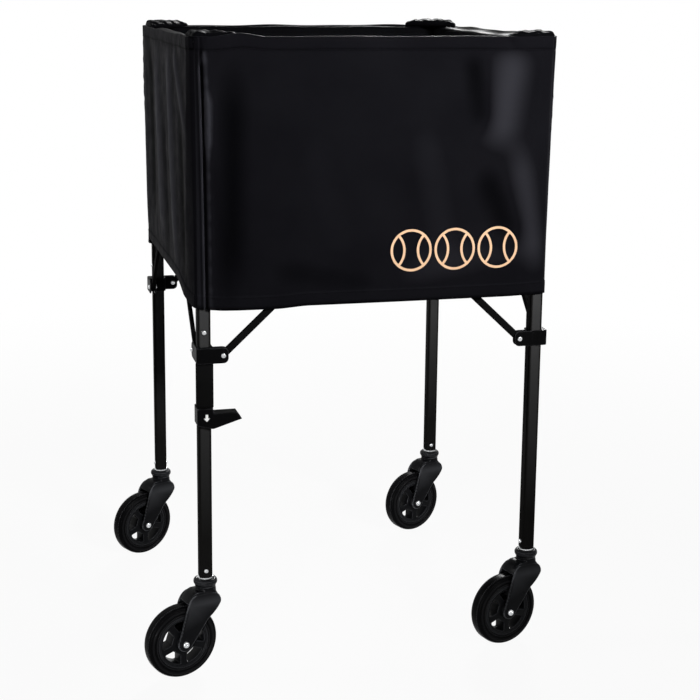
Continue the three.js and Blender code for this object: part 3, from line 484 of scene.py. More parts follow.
def moulded(name, pieces, cutters, voxel, rounds, faces):
    """Fuses overlapping solids into one moulding with softened edges."""
    body = joined(pieces, name)
    fuse = body.modifiers.new("fuse", "REMESH")
    fuse.mode = "VOXEL"
    fuse.voxel_size = voxel
    for cutter in cutters:
        cut = body.modifiers.new("cut", "BOOLEAN")
        cut.operation = "DIFFERENCE"
        cut.solver = "EXACT"
        cut.object = cutter
    if cutters:
        again = body.modifiers.new("fuse again", "REMESH")
        again.mode = "VOXEL"
        again.voxel_size = voxel
    soften = body.modifiers.new("soften", "SMOOTH")
    soften.factor = 0.5
    soften.iterations = rounds
    body = finish_mesh(body, 180)
    for cutter in cutters:
        bpy.data.objects.remove(cutter)
    thin = body.modifiers.new("thin", "DECIMATE")
    thin.ratio = min(1, faces / max(1, len(body.data.polygons) * 2))
    return finish_mesh(body, 50)


def standing(piece, y):
    """Stands a flat piece, drawn in X and Y, up in X and Z at a place on Y."""
    piece.matrix_world = Matrix.Translation((0, y, 0)) @ Matrix.Rotation(pi / 2, 4, "X")
    return piece


def fork_crown():
    """The crown: the arms' outline swept across the wheel and rounded off in plan."""
    outline = [(x, z) for x, z in fork_outline(CROWN_TOP) if z > CROWN_BOTTOM - 1 * MM]
    shape = bmesh.new()
    rows = []
    across = [step / 12 * 2 - 1 for step in range(13)]
    for x, z in outline:
        row = []
        for share in across:
            pull = 1 - 0.16 * abs(share) ** 3
            drop = 6 * MM * abs(share) ** 5 * step_up(z, CROWN_TOP - 14 * MM, CROWN_TOP - 2 * MM)
            middle = -14 * MM
            row.append(shape.verts.new((middle + (x - middle) * pull, share * FORK_OUTSIDE, z - drop)))
        rows.append(row)
    for first, second in zip(rows, rows[1:] + rows[:1]):
        for a, b, c, d in zip(first, first[1:], second[1:], second):
            shape.faces.new((a, b, c, d))
    shape.faces.new([row[0] for row in rows])
    shape.faces.new([row[-1] for row in rows])
    bmesh.ops.recalc_face_normals(shape, faces=shape.faces)
    return piece_from(shape, "crown")


def build_fork():
    wall = FORK_OUTSIDE - FORK_INSIDE
    middle = (FORK_OUTSIDE + FORK_INSIDE) / 2
    outline = fork_outline(CROWN_TOP - 4 * MM)
    arms = [standing(plate("arm", [outline], wall, 2.3 * MM, 5), side * middle) for side in (-1, 1)]
    collar_rings = in_mm([(0, -6), (18.5, -6), (18, 1), (17.3, 2.5), (17.3, 4.4), (18.2, 5), (18.2, 6.2),
                          (17.6, 6.8), (18.9, 8), (20.3, 10), (20.7, 12.6), (20, 15.6), (18, 17.6)],
                         CROWN_TOP)
    neck = lathe("neck", collar_rings + in_mm([(15.6, 0), (13.9, -0.9), (0, -0.9)], NECK_TOP))
    bosses = []
    for side in (-1, 1):
        boss = lathe("axle boss", in_mm([(0, 0), (9.6, 0), (8.8, 1.6), (0, 1.6)]))
        tilt = Matrix.Rotation(-side * pi / 2, 4, "X")
        boss.matrix_world = Matrix.Translation((-TRAIL, side * (FORK_OUTSIDE - 1 * MM), AXLE_HEIGHT)) @ tilt
        bosses.append(boss)
    fork = moulded("fork", arms + [fork_crown(), neck] + bosses, [], 0.85 * MM, 5, 16000)
    flat = 15.5 * MM
    for vertex in fork.data.vertices:
        bend = step_up(vertex.co.z, CROWN_TOP - 24 * MM, CROWN_TOP + 3 * MM)
        bend *= 1 - step_up(vertex.co.z, CROWN_TOP + 3 * MM, CROWN_TOP + 5 * MM)
        beyond = abs(vertex.co.y) - flat
        if beyond > 0:
            vertex.co.y = copysign(flat + beyond * (1 - 0.62 * bend), vertex.co.y)
    return fork


def mark_painted_edge_light(piece, start, full):
    """Stores how convex the surface is at each point, in turns per metre, for painted highlights along its
    edges.
    """
    mesh = piece.data
    place = np.array([vertex.co for vertex in mesh.vertices])
    facing = np.array([vertex.normal for vertex in mesh.vertices])
    ends = np.array([edge.vertices for edge in mesh.edges])
    bend = np.zeros(len(place))
    count = np.zeros(len(place))
    for here, there in ((ends[:, 0], ends[:, 1]), (ends[:, 1], ends[:, 0])):
        along = place[there] - place[here]
        drop = -2 * np.sum(along * facing[here], axis=1) / np.maximum(np.sum(along * along, axis=1), 1e-12)
        np.add.at(bend, here, drop)
        np.add.at(count, here, 1)
    rubbed = np.clip((bend / np.maximum(count, 1) - start) / (full - start), 0, 1)
    mesh.attributes.new("rubbed", "FLOAT", "POINT").data.foreach_set("value", rubbed)
    return piece


def painted_light_tone(tree, base, painted_light_colour, start=0.0, full=1.0):
    """The base colour, mixed towards another where the piece carries painted light: a lighter colour paints
    a highlight, a darker one paints shade.
    """
    rubbed = node(tree, "ShaderNodeAttribute", attribute_name="rubbed").outputs["Fac"]
    return mixed_colour(tree, ramp(tree, rubbed, start, full, 0, 1), base, painted_light_colour)


def moulded_black(name, colours, roughness, grain, shine, flow_scale=22, relief=0.16):
    """Moulded nylon or rubber: a fine grain, faint flow marks or bloom, and painted highlights on its convex
    edges.
    """
    dark, light, rubbed = colours
    material, tree = new_material(name)
    flow = object_noise(tree, flow_scale)
    base = painted_light_tone(tree, mixed_colour(tree, flow, dark, light), rubbed)
    rough = ramp(tree, flow, 0.3, 0.7, roughness - 0.06, roughness + 0.06)
    surface(tree, base, rough, bump(tree, object_noise(tree, grain, 2), relief, 0.0002), shine)
    return material


# The third colour is a painted highlight on the convex edges.
caster_plastic = moulded_black("caster_nylon", ((0.0028, 0.0029, 0.0034), (0.0044, 0.0046, 0.0053),
                                                (0.066, 0.068, 0.074)), 0.31, 1500, 0.03)
# Painted highlights along the fork's convex edges.
fork = mark_painted_edge_light(build_fork(), 60, 260)
# A painted broad highlight across the upper part of each arm's outer face.
for vertex, mark in zip(fork.data.vertices, fork.data.attributes["rubbed"].data):
    side_face = step_up(abs(vertex.co.y), 14 * MM, 18 * MM)
    mark.value += 0.32 * side_face * bulge(vertex.co.z - CROWN_TOP + 19 * MM, 9 * MM)
fit_corners(fork, "fork", swing_place, "caster", "caster_plastic", caster_plastic, "caster_fork")


def wheel_place(corner):
    """From a wheel's own frame, with its axle along Z, to the cart's."""
    tilt = Matrix.Rotation(pi / 2, 4, "X")
    return swing_place(corner) @ Matrix.Translation((-TRAIL, 0, AXLE_HEIGHT)) @ tilt


shaft = finish_mesh(lathe("shaft", in_mm([(0, -21), (4.8, -21), (4.8, 21), (0, 21)]), 24))
fit_corners(shaft, "axle_shaft", wheel_place, "caster", "zinc_steel", zinc, "wheel_axle")
for corner in CORNERS:
    heads = [
        ((-TRAIL, -FORK_OUTSIDE - 0.5 * MM, AXLE_HEIGHT), FRONT, 5.8 * MM, 4.2 * MM),
        ((-TRAIL, FORK_OUTSIDE + 0.5 * MM, AXLE_HEIGHT), REAR, 5.8 * MM, 4.2 * MM),
    ]
    screw_heads(f"axle_heads_{corner}", heads, swing_place(corner), f"caster_{corner}",
                f"wheel_axle_{corner}")

# Wheel hubs
# A moulded nylon wheel centre: a rim, a web with five windows between its spokes, and a boss.
# The tyre is pressed on to the rim, and the boss turns on the axle.
HUB_RADIUS = 46.2 * MM
RIM_INNER = 41.7 * MM
WINDOW_OUTER = 38.4 * MM
WINDOW_INNER = 22.0 * MM
SPOKE_HALF = 6.0 * MM
SPOKES = 5


def window_outline(middle):
    """One window between two spokes, with rounded corners."""
    outer_half = pi / SPOKES - SPOKE_HALF / WINDOW_OUTER
    inner_half = pi / SPOKES - SPOKE_HALF / WINDOW_INNER
    corners = [(WINDOW_OUTER, -outer_half), (WINDOW_OUTER, outer_half),
               (WINDOW_INNER, inner_half), (WINDOW_INNER, -inner_half)]
    points = []
    rounding = 0.16
    for index, (radius, angle) in enumerate(corners):
        before = corners[index - 1]
        after = corners[(index + 1) % 4]
        start = tuple(a + (b - a) * rounding for a, b in zip((radius, angle), before))
        end = tuple(a + (b - a) * rounding for a, b in zip((radius, angle), after))
        bend = quadratic(start, (radius, angle), end, 4)
        points += bend
        if index == 0:
            points += [(radius, angle + (after[1] - angle) * s) for s in (0.33, 0.5, 0.67)]
    return [(r * cos(middle + a), r * sin(middle + a)) for r, a in points]


def circle(radius, steps, x=0):
    turns = [2 * pi * step / steps for step in range(steps)]
    return [(x + radius * cos(t), radius * sin(t)) for t in turns]


def mirrored(half_profile):
    """A closed profile from its lower half, given from the inside out."""
    upper = [(radius, -height) for radius, height in reversed(half_profile)]
    return half_profile + upper + half_profile[:1]


def build_hub():
    windows = [window_outline(2 * pi * spoke / SPOKES + pi / 2) for spoke in range(SPOKES)]
    web = plate("web", [circle(43 * MM, 72)] + windows, 26 * MM, 1.8 * MM, 3)
    rim = lathe("rim", mirrored([
        (RIM_INNER, -12.2 * MM), (RIM_INNER + 1.4 * MM, -13.5 * MM),
        (HUB_RADIUS - 0.6 * MM, -13.5 * MM), (HUB_RADIUS, -12.9 * MM),
    ]), 72)
    boss = lathe("boss", mirrored(in_mm([(5.1, -17.5), (11.4, -17.5), (12.4, -16.5), (13.4, -6)])), 36)
    return joined([web, rim, boss], "hub")


# Painted highlights along the hub's convex edges.
hub = mark_painted_edge_light(finish_mesh(build_hub()), 120, 900)
fit_corners(hub, "hub", wheel_place, "wheel", "caster_plastic", caster_plastic, "wheel_hub")

# Tyres
# Solid black rubber, 127 mm across, with two raised rings on each side wall.
# Fine cross ribs run over the shoulders of the tread, all round the wheel.
RIB_COUNT = 120

tyre_side = in_mm([
    (46.5, -13.0), (47.6, -13.8), (49.2, -13.8), (50.0, -13.0), (51.4, -12.7), (52.8, -13.2), (53.8, -14.6),
    (55.2, -15.0), (56.6, -14.5), (57.4, -13.2), (58.6, -12.6), (60.2, -12.3), (61.6, -11.4), (62.7, -9.6),
    (63.3, -6.5), (63.5, -2.4),
])
tyre = lathe("tyre", mirrored(tyre_side), 96)


def rib_tree():
    """Cross ribs: one bar on each point of a ring, turned with it, on both shoulders."""
    tree, entry = new_tree("Tread ribs", [
        ("Ring radius", "Float", 61.8 * MM), ("Shoulder", "Float", 8.8 * MM), ("Tilt", "Float", 0.5),
        ("Rib length", "Float", 6.2 * MM), ("Rib width", "Float", 1.2 * MM),
        ("Rib height", "Float", 1.4 * MM), ("Count", "Int", RIB_COUNT), ("Finish", "Material", None),
    ])
    size = node(tree, "ShaderNodeCombineXYZ", {
        "X": entry["Rib height"], "Y": entry["Rib width"], "Z": entry["Rib length"]}).outputs["Vector"]
    bar = node(tree, "GeometryNodeMeshCube", {"Size": size}).outputs["Mesh"]
    ring = node(tree, "GeometryNodeMeshCircle", {
        "Vertices": entry["Count"], "Radius": entry["Ring radius"]}).outputs["Mesh"]
    index = node(tree, "GeometryNodeInputIndex").outputs["Index"]
    turn = result(tree, "MULTIPLY", result(tree, "DIVIDE", index, entry["Count"]), 2 * pi)
    tread = node(tree, "GeometryNodeJoinGeometry", {"Geometry": entry["Geometry"]})
    for side in (-1, 1):
        lift = node(tree, "ShaderNodeCombineXYZ", {"Z": result(tree, "MULTIPLY", entry["Shoulder"], side)})
        shoulder = node(tree, "GeometryNodeTransform", {
            "Geometry": ring, "Translation": lift.outputs["Vector"]})
        tilt = result(tree, "MULTIPLY", entry["Tilt"], -side)
        rotation = node(tree, "ShaderNodeCombineXYZ", {"Y": tilt, "Z": turn}).outputs["Vector"]
        ribs = set_on_points(tree, shoulder.outputs["Geometry"], bar, Rotation=rotation)
        tree.links.new(ribs, tread.inputs["Geometry"])
    return end_tree(tree, tread.outputs["Geometry"], entry["Finish"])


# The third colour is a painted highlight on the tyre's ridges and edges.
rubber = moulded_black("black_rubber", ((0.0016, 0.0016, 0.0018), (0.0028, 0.0028, 0.0031),
                                        (0.040, 0.040, 0.043)), 0.32, 1800, 0.014, 30, 0.1)
ribs = tyre.modifiers.new("ribs", "NODES")
ribs.node_group = rib_tree()
set_input(ribs, "Finish", rubber)
# Painted highlights along the tyre's ridges and edges.
tyre = mark_painted_edge_light(finish_mesh(tyre), 150, 700)
fit_corners(tyre, "tread", wheel_place, "wheel", "tyre_rubber", rubber, "tyre")

# Sliding collars
# Moulded black nylon collars that ride up and down the legs on a loose fit.
# Each has an ear on two sides, and a brace end is pinned in the slot of each ear.
FIT = 0.3 * MM
BORE_HALF = TUBE_HALF + FIT
CHEEK = 2.8 * MM
COLLAR_HALF = BORE_HALF + CHEEK
BAR_DEPTH = 6.4 * MM
INNER_BAR = TUBE_HALF - BAR_DEPTH / 2
OUTER_BAR = INNER_BAR + BAR_DEPTH + FIT
SLOT_HALF = BAR_DEPTH / 2 + FIT
PIVOT_REACH = 30.5 * MM
EAR_END = PIVOT_REACH + 9 * MM
EAR_CORNER = 8.5 * MM
LOWER_PIVOT = 564 * MM
SLIDER_HEIGHT = 27 * MM


def ear_outline(height):
    half = height / 2
    points = [(0, -half)]
    for quarter, side in ((-1, -1), (0, 1)):
        for step in range(8):
            angle = (quarter + step / 7) * pi / 2
            points.append((EAR_END - EAR_CORNER + EAR_CORNER * cos(angle),
                           side * (half - EAR_CORNER) + EAR_CORNER * sin(angle)))
    return points + [(0, half)]


def ear(along_y, bar, height, pivot):
    """One ear: two cheeks with a slot between them, and the pin across the slot."""
    swap = Matrix(((0, 1, 0, 0), (1, 0, 0, 0), (0, 0, 1, 0), (0, 0, 0, 1))) if along_y else Matrix()
    upright = Matrix.Rotation(pi / 2, 4, "X")
    pieces = []
    for side in (-1, 1):
        cheek = plate("cheek", [ear_outline(height)], CHEEK, 0.7 * MM)
        across = -bar + side * (SLOT_HALF + CHEEK / 2)
        cheek.matrix_world = swap @ Matrix.Translation((0, across, pivot)) @ upright
        pieces.append(cheek)
    end = SLOT_HALF + 1 * MM
    pin = lathe("pin", [(0, -end), (3 * MM, -end), (3 * MM, end), (0, end)], 24)
    pin.matrix_world = swap @ Matrix.Translation((PIVOT_REACH, -bar, pivot)) @ upright
    return pieces + [pin]


def block(name, low_corner, high_corner, corner):
    """A block with rounded upright edges."""
    width, depth, height = [b - a for a, b in zip(low_corner, high_corner)]
    piece = plate(name, [rounded_outline(width / 2, depth / 2, corner, 4)], height)
    piece.location = [(a + b) / 2 for a, b in zip(low_corner, high_corner)]
    return piece


def leg_bore(bottom, top):
    low_corner = (-BORE_HALF, -BORE_HALF, bottom)
    return finish_mesh(block("bore", low_corner, (BORE_HALF, BORE_HALF, top), 1.2 * MM))


def collar(name, bottom, top, pivot, bar_x, bar_y, is_slider):
    """A collar round the leg with one ear along +X and one along +Y."""
    outer_x = bar_x + SLOT_HALF + CHEEK if is_slider else COLLAR_HALF
    outer_y = bar_y + SLOT_HALF + CHEEK if is_slider else COLLAR_HALF
    ring = block("ring", (-outer_y, -outer_x, bottom), (COLLAR_HALF, COLLAR_HALF, top), 5.5 * MM)
    pieces = [ring] + ear(False, bar_x, SLIDER_HEIGHT, pivot) + ear(True, bar_y, SLIDER_HEIGHT, pivot)
    bore = leg_bore(bottom - 1 * MM, top + 1 * MM if is_slider else LEG_TOP + FIT)
    return moulded(name, pieces, [bore], 0.7 * MM, 4, 12000)


# The third colour is a painted highlight on the convex edges.
black_plastic = moulded_black("moulded_black", ((0.0020, 0.0020, 0.0022), (0.0032, 0.0032, 0.0035),
                                                (0.030, 0.030, 0.033)), 0.36, 1500, 0.008)
slider = collar("slider", LOWER_PIVOT - SLIDER_HEIGHT / 2, LOWER_PIVOT + SLIDER_HEIGHT / 2, LOWER_PIVOT,
                OUTER_BAR, INNER_BAR, True)
# Painted highlights along the collar's convex edges.
slider = mark_painted_edge_light(slider, 80, 420)
fit_corners(slider, "collar", corner_place, "slider", "black_plastic", black_plastic, "slider")
for corner in CORNERS:
    heads = []
    for side, height in ((1, 2.8 * MM), (-1, 1.8 * MM)):
        face_x = OUTER_BAR + side * (SLOT_HALF + CHEEK)
        face_y = INNER_BAR + side * (SLOT_HALF + CHEEK)
        heads += [((PIVOT_REACH, -face_x, LOWER_PIVOT), (0, -side, 0), 4.4 * MM, height),
                  ((-face_y, PIVOT_REACH, LOWER_PIVOT), (-side, 0, 0), 4.4 * MM, height)]
    screw_heads(f"collar_bolts_{corner}", heads, corner_place(corner), f"slider_{corner}",
                f"slider_{corner}")

# Upper brackets
# The same collars with a lid, pushed over the leg tops and fixed, inside the bag's corners.
# The braces pivot in their ears just under the rim.
UPPER_PIVOT = LEG_TOP - 16 * MM
bracket = collar("bracket", UPPER_PIVOT - SLIDER_HEIGHT / 2, LEG_TOP + FIT + 4 * MM, UPPER_PIVOT,
                 INNER_BAR, OUTER_BAR, False)
fit_corners(bracket, "bracket", corner_place, "leg", "black_plastic", black_plastic, "top_bracket")

# Braces
# Flattened steel tube, 12.7 by 6.4 mm with round ends, powder coated like the legs.
# Two cross on each side of the cart and are riveted together where they cross.
SIDES = ["front", "right", "back", "left"]
BAR_WIDTH = 12.7 * MM
PIVOT_SPAN = HALF_PITCH * 2 - PIVOT_REACH * 2
PIVOT_RISE = UPPER_PIVOT - LOWER_PIVOT
BAR_LENGTH = hypot(PIVOT_SPAN, PIVOT_RISE)
BAR_ANGLE = atan2(PIVOT_RISE, PIVOT_SPAN)
CROSSING = (UPPER_PIVOT + LOWER_PIVOT) / 2
tube_paint = coated_steel("satin_black_bar", (0.0042, 0.0042, 0.0043), (0.0058, 0.0058, 0.0060))


def side_place(side):
    """From a side's own frame, with X along it and -Y outwards, to the cart's."""
    return Matrix.Translation(CART_CENTRE) @ Matrix.Rotation(SIDES.index(side) * pi / 2, 4, "Z")


def bar_outline():
    points = []
    for end, start in ((1, -pi / 2), (-1, pi / 2)):
        for step in range(13):
            angle = start + pi * step / 12
            points.append((end * BAR_LENGTH / 2 + BAR_WIDTH / 2 * cos(angle), BAR_WIDTH / 2 * sin(angle)))
    return points


bar_holes = [circle(3.4 * MM, 20, x) for x in (-BAR_LENGTH / 2, 0, BAR_LENGTH / 2)]
bar = finish_mesh(plate("bar", [bar_outline()] + bar_holes, BAR_DEPTH, 2.2 * MM, 4))
for side in SIDES:
    for kind, depth, tilt in (("outer", OUTER_BAR, -BAR_ANGLE), ("inner", INNER_BAR, BAR_ANGLE)):
        place = (side_place(side) @ Matrix.Translation((0, -HALF_PITCH - depth, CROSSING))
                 @ Matrix.Rotation(tilt, 4, "Y") @ Matrix.Rotation(pi / 2, 4, "X"))
        turned = copy_to(bar, f"brace_{kind}_bar_{side}", place)
        dress(turned, f"{kind}_brace_{side}", "black_tube", tube_paint, f"brace_{kind}_{side}")
    heads = [((0, 0, BAR_DEPTH * 1.5 + FIT), (0, 0, 1), 5.5 * MM, 1.8 * MM),
             ((0, 0, -BAR_DEPTH / 2), (0, 0, -1), 5.5 * MM, 1.8 * MM)]
    screw_heads(f"crossing_rivet_{side}", heads, place, f"inner_brace_{side}", f"brace_inner_{side}")
bpy.data.objects.remove(bar)

# Foot pedal
# A moulded collar with a broad tread, hung under the front left slider by a pressed steel link.
# It is taken to be what a foot presses to fold the cart. A plain white arrow on it points down.
PEDAL_HEIGHT = 29.5 * MM
LINK_LENGTH = 76 * MM
PEDAL_TOP = LOWER_PIVOT - SLIDER_HEIGHT / 2 - LINK_LENGTH - FIT * 2
PEDAL_BOTTOM = PEDAL_TOP - PEDAL_HEIGHT
PEDAL_FACE = COLLAR_HALF + 6 * MM
PEDAL_REACH = 62 * MM
TREAD_TOP = PEDAL_TOP - 9 * MM
PEDAL_CHIN = 6.5 * MM
TREAD_DEPTH = 24 * MM


def build_pedal():
    face = [
        (-COLLAR_HALF, PEDAL_BOTTOM), (COLLAR_HALF * 0.8, PEDAL_BOTTOM - PEDAL_CHIN),
        (COLLAR_HALF, PEDAL_BOTTOM - PEDAL_CHIN), (PEDAL_REACH, TREAD_TOP - 12 * MM),
        (PEDAL_REACH - 8 * MM, TREAD_TOP), (COLLAR_HALF, TREAD_TOP),
        (COLLAR_HALF * 0.9, PEDAL_TOP), (-COLLAR_HALF, PEDAL_TOP),
    ]
    tread = [
        (BORE_HALF, PEDAL_BOTTOM - PEDAL_CHIN / 2), (PEDAL_REACH, TREAD_TOP - 12 * MM),
        (PEDAL_REACH - 8 * MM, TREAD_TOP), (BORE_HALF, TREAD_TOP),
    ]
    depth = PEDAL_FACE - BORE_HALF
    pieces = [
        standing(plate("face", [face], depth, 0.8 * MM), -PEDAL_FACE + depth / 2),
        standing(plate("tread", [tread], TREAD_DEPTH, 0.8 * MM), -PEDAL_FACE + TREAD_DEPTH / 2),
        block("ring", (-COLLAR_HALF, -COLLAR_HALF, PEDAL_BOTTOM), (COLLAR_HALF, COLLAR_HALF, PEDAL_TOP),
              4 * MM),
    ]
    bore = leg_bore(PEDAL_BOTTOM - 9 * MM, PEDAL_TOP + 1 * MM)
    return moulded("pedal", pieces, [bore], 0.7 * MM, 3, 12000)


# Painted highlights along the pedal's convex edges.
pedal = mark_painted_edge_light(build_pedal(), 80, 420)
pedal.data.transform(corner_place("front_left"))
pedal.name = "foot_pedal"
dress(pedal, "slider_front_left", "black_plastic", black_plastic, "drop_pedal")

link_outer = BORE_HALF + 3 * MM
link_flange = -BORE_HALF + 4 * MM
link_section = [
    (-link_outer, -link_outer), (link_outer, -link_outer), (link_outer, link_flange),
    (BORE_HALF, link_flange), (BORE_HALF, -BORE_HALF), (-BORE_HALF, -BORE_HALF),
    (-BORE_HALF, link_flange), (-link_outer, link_flange),
]
channel = plate("link_channel", [link_section], LINK_LENGTH, 0.5 * MM)
channel.location.z = LOWER_PIVOT - SLIDER_HEIGHT / 2 - FIT - LINK_LENGTH / 2
channel = finish_mesh(channel)
channel.data.transform(corner_place("front_left"))
dress(channel, "slider_front_left", "black_tube", tube_paint, "pedal_link")


def mottled(name, first, second, scale, detail, roughness, shine):
    """A plain finish with a fine mottling."""
    material, tree = new_material(name)
    base = mixed_colour(tree, object_noise(tree, scale, detail), first, second)
    feed(tree, tree.nodes["Principled BSDF"].inputs, {
        "Base Color": base, "Roughness": roughness, "Specular IOR Level": shine})
    return material


arrow_outline = in_mm([(0, -6), (5.5, 0), (2.2, 0), (2.2, 6.5), (-2.2, 6.5), (-2.2, 0), (-5.5, 0)])
arrow = standing(plate("pedal_arrow", [arrow_outline], 0.3 * MM), -PEDAL_FACE - 0.05 * MM)
arrow.location.x = 2 * MM
arrow.location.z = (PEDAL_TOP + PEDAL_BOTTOM) / 2 - 2 * MM
arrow = finish_mesh(arrow)
arrow.data.transform(corner_place("front_left"))
white_ink = mottled("white_ink", (0.72, 0.72, 0.71), (0.86, 0.86, 0.85), 900, 4, 0.5, 0.5)
dress(arrow, "slider_front_left", "black_plastic", white_ink, "drop_pedal")

# Bag panels
# Four panels of coated black nylon, sewn at the corners, hang outside the legs and braces.
# The rim is turned in over the frame to the lining, and both edges have a stitched hem.
RIM = LEG_TOP + 13 * MM
SKIRT_DEPTH = 443 * MM
SKIRT_WIDTH = 620 * MM
HEM_SAG = 4 * MM
CLOTH = 1.2 * MM
SKIRT_REACH = 23 * MM
REACH_TOP = 17.5 * MM
REACH_BOTTOM = 13.4 * MM
CORNER_ROUND_TOP = 12 * MM
CORNER_ROUND_BOTTOM = 7 * MM
HEM_WIDTH = 22 * MM
STITCH_DROP = HEM_WIDTH - 2.6 * MM
HEM_LIFT = 0.9 * MM


def corner_reach(v):
    return REACH_BOTTOM + (REACH_TOP - REACH_BOTTOM) * (1 - v) ** 3


def skirt_reach(u, v):
    easing = 0.034 + 0.076 * v * v
    share = min(1, max(0, min(u, 1 - u) / easing))
    return corner_reach(v) + (SKIRT_REACH - corner_reach(v)) * share ** 0.8


def fold(u, v, crease):
    """One soft fold from start to end, in shares of the panel: its height away from the cloth."""
    (u0, v0), (u1, v1), width, height = crease
    start, end, here = [Vector((across * SKIRT_WIDTH, down * SKIRT_DEPTH))
                        for across, down in ((u0, v0), (u1, v1), (u, v))]
    along = end - start
    t = (here - start).dot(along) / along.length_squared
    nearest = start + along * min(1, max(0, t))
    fade = step_up(t, -0.15, 0.25) * (1 - step_up(t, 0.75, 1.15))
    return height * MM * fade * bulge((here - nearest).length, width * MM)


# Each fold: where it starts and ends, in shares across and down the panel, its width and height
FOLDS = {
    "front": [
        ((0.034, 0.2), (0.028, 0.42), 9, 3.0), ((0.1, 0.1), (0.09, 0.95), 26, -2.4),
        ((0.88, 0.04), (0.84, 0.42), 34, 3.4), ((0.76, 0.06), (0.80, 0.36), 22, -2.4),
        ((0.90, 0.42), (0.97, 0.9), 24, 2.6), ((0.80, 0.5), (0.90, 0.8), 28, -2.2),
        ((0.62, 0.3), (0.70, 0.85), 40, 0.9), ((0.3, 0.25), (0.42, 0.95), 60, 0.6),
        ((0.2, 0.86), (0.5, 0.93), 26, -1.6), ((0.55, 0.9), (0.95, 0.8), 30, 1.2),
    ],
    "left": [
        ((0.62, 0.06), (0.76, 0.92), 30, 4.6), ((0.36, 0.1), (0.48, 0.9), 36, 4.2),
        ((0.20, 0.05), (0.27, 0.85), 26, -4.2), ((0.74, 0.06), (0.94, 0.34), 18, 3.6),
        ((0.84, 0.3), (0.90, 0.95), 22, -3.4), ((0.08, 0.1), (0.12, 0.95), 22, 2.6),
        ((0.50, 0.3), (0.60, 0.95), 18, -2.2),
    ],
    "right": [
        ((0.12, 0.06), (0.3, 0.6), 22, 3.0), ((0.4, 0.05), (0.34, 0.8), 30, -2.6),
        ((0.6, 0.1), (0.66, 0.75), 32, 2.8), ((0.82, 0.08), (0.78, 0.9), 26, -2.8),
        ((0.92, 0.2), (0.9, 0.9), 18, 2.4), ((0.2, 0.6), (0.5, 0.95), 28, 2.2),
    ],
    "back": [
        ((0.08, 0.08), (0.12, 0.85), 22, 2.8), ((0.26, 0.1), (0.2, 0.7), 36, -2.2),
        ((0.45, 0.05), (0.52, 0.8), 44, 2.4), ((0.68, 0.1), (0.62, 0.9), 40, -2.2),
        ((0.86, 0.08), (0.9, 0.85), 26, 2.8), ((0.35, 0.8), (0.7, 0.92), 30, 1.8),
    ],
}


def even_wave(place, length, start=0.0):
    return sin(place / length * 2 * pi + start)


def past_seam(u, v):
    """How far a point lies past the corner seam, which slants a little down the panel."""
    return u * 2 * (HALF_PITCH + corner_reach(v)) - (7.5 + 5.5 * v) * MM


def skirt_relief(side, u, v):
    """How far the cloth stands out of its plain form: folds, seams, hems and puckers."""
    down = v * SKIRT_DEPTH
    up = SKIRT_DEPTH - down
    from_corner = min(u, 1 - u) * 2 * HALF_PITCH
    free = step_up(down, 0, 40 * MM) * step_up(up, -10 * MM, 30 * MM) * step_up(from_corner, 6 * MM, 18 * MM)
    relief = sum(fold(u, v, crease) for crease in FOLDS[side]) * free
    across = u * SKIRT_WIDTH
    wave = even_wave(across, 13 * MM) + 0.6 * even_wave(across, 7.7 * MM, 1.3)
    for from_edge, stitch_depth in ((down, 0.5 * MM), (up, 0.2 * MM)):
        relief += HEM_LIFT * (1 - step_up(from_edge, HEM_WIDTH - 1.2 * MM, HEM_WIDTH + 0.4 * MM))
        relief -= stitch_depth * bulge(from_edge - STITCH_DROP, 1.3 * MM)
        relief += 0.25 * MM * wave * bulge(from_edge - HEM_WIDTH, 8 * MM)
    puckers = even_wave(across, 5.5 * MM, down * 160) * bulge(u - 0.875, 0.02)
    relief += 0.8 * MM * puckers * (1 - step_up(down, HEM_WIDTH - 4 * MM, HEM_WIDTH + 4 * MM))
    return relief + corner_seam(u, v) * (1 if side == "front" else 0.6)


def corner_seam(u, v):
    """Each panel is sewn to the next on its own face, just past the corner at its left end."""
    past = past_seam(u, v)
    below_hem = 0.35 + 0.65 * step_up(v, 0.045, 0.06)
    gutter_depth = (3.3 - 0.8 * v) * (1 - 0.6 * bulge(v - 0.085, 0.014))
    edge = 1.9 * bulge(past + 1.2 * MM, 1.3 * MM)
    gutter = gutter_depth * bulge(past - 2.2 * MM, 1.9 * MM)
    down = v * SKIRT_DEPTH
    pull = 1 + 0.2 * even_wave(down, 31 * MM) + 0.12 * even_wave(down, 17 * MM, 0.7)
    puff = (1.9 + 1.6 * bulge(v - 0.28, 0.14)) * pull * bulge(past - 8.5 * MM, 4.5 * MM)
    return (edge - gutter + puff * step_up(v, 0.02, 0.05)) * MM * below_hem


# How far the rim droops at each panel's left end, where it has slipped down over the frame
RIM_DROOP = {"front": 0, "right": 0, "back": 4.5 * MM, "left": 6 * MM}


def rim_wave(side, u):
    """The rim rises and dips a little where the cloth is gathered over the frame."""
    following = SIDES[(SIDES.index(side) + 1) % 4]
    droop = RIM_DROOP[side] * (1 - u) + RIM_DROOP[following] * u
    inner = step_up(min(u, 1 - u), 0.01, 0.06)
    phase = SIDES.index(side) * 2.1
    wave = 0.8 * sin(u * 17 + phase) + 0.5 * sin(u * 31 + phase * 2)
    if side == "front":
        wave = 5.2 * bulge(u - 0.13, 0.042) - 1.2 * bulge(u - 0.05, 0.025) + 0.4 * sin(u * 19)
    return wave * inner * MM - droop


def hem_drop(side, u):
    """How far the lower hem hangs below its corners."""
    if side == "front":
        return 3.6 * MM * step_up(u, 0, 0.07) * (1 - step_up(u, 0.21, 0.31)) + 1 * MM * sin(u * pi)
    if side == "left":
        return -25 * MM * step_up(u, -0.02, 0.12) * (1 - step_up(u, 0.74, 1.0))
    return HEM_SAG * sin(u * pi)


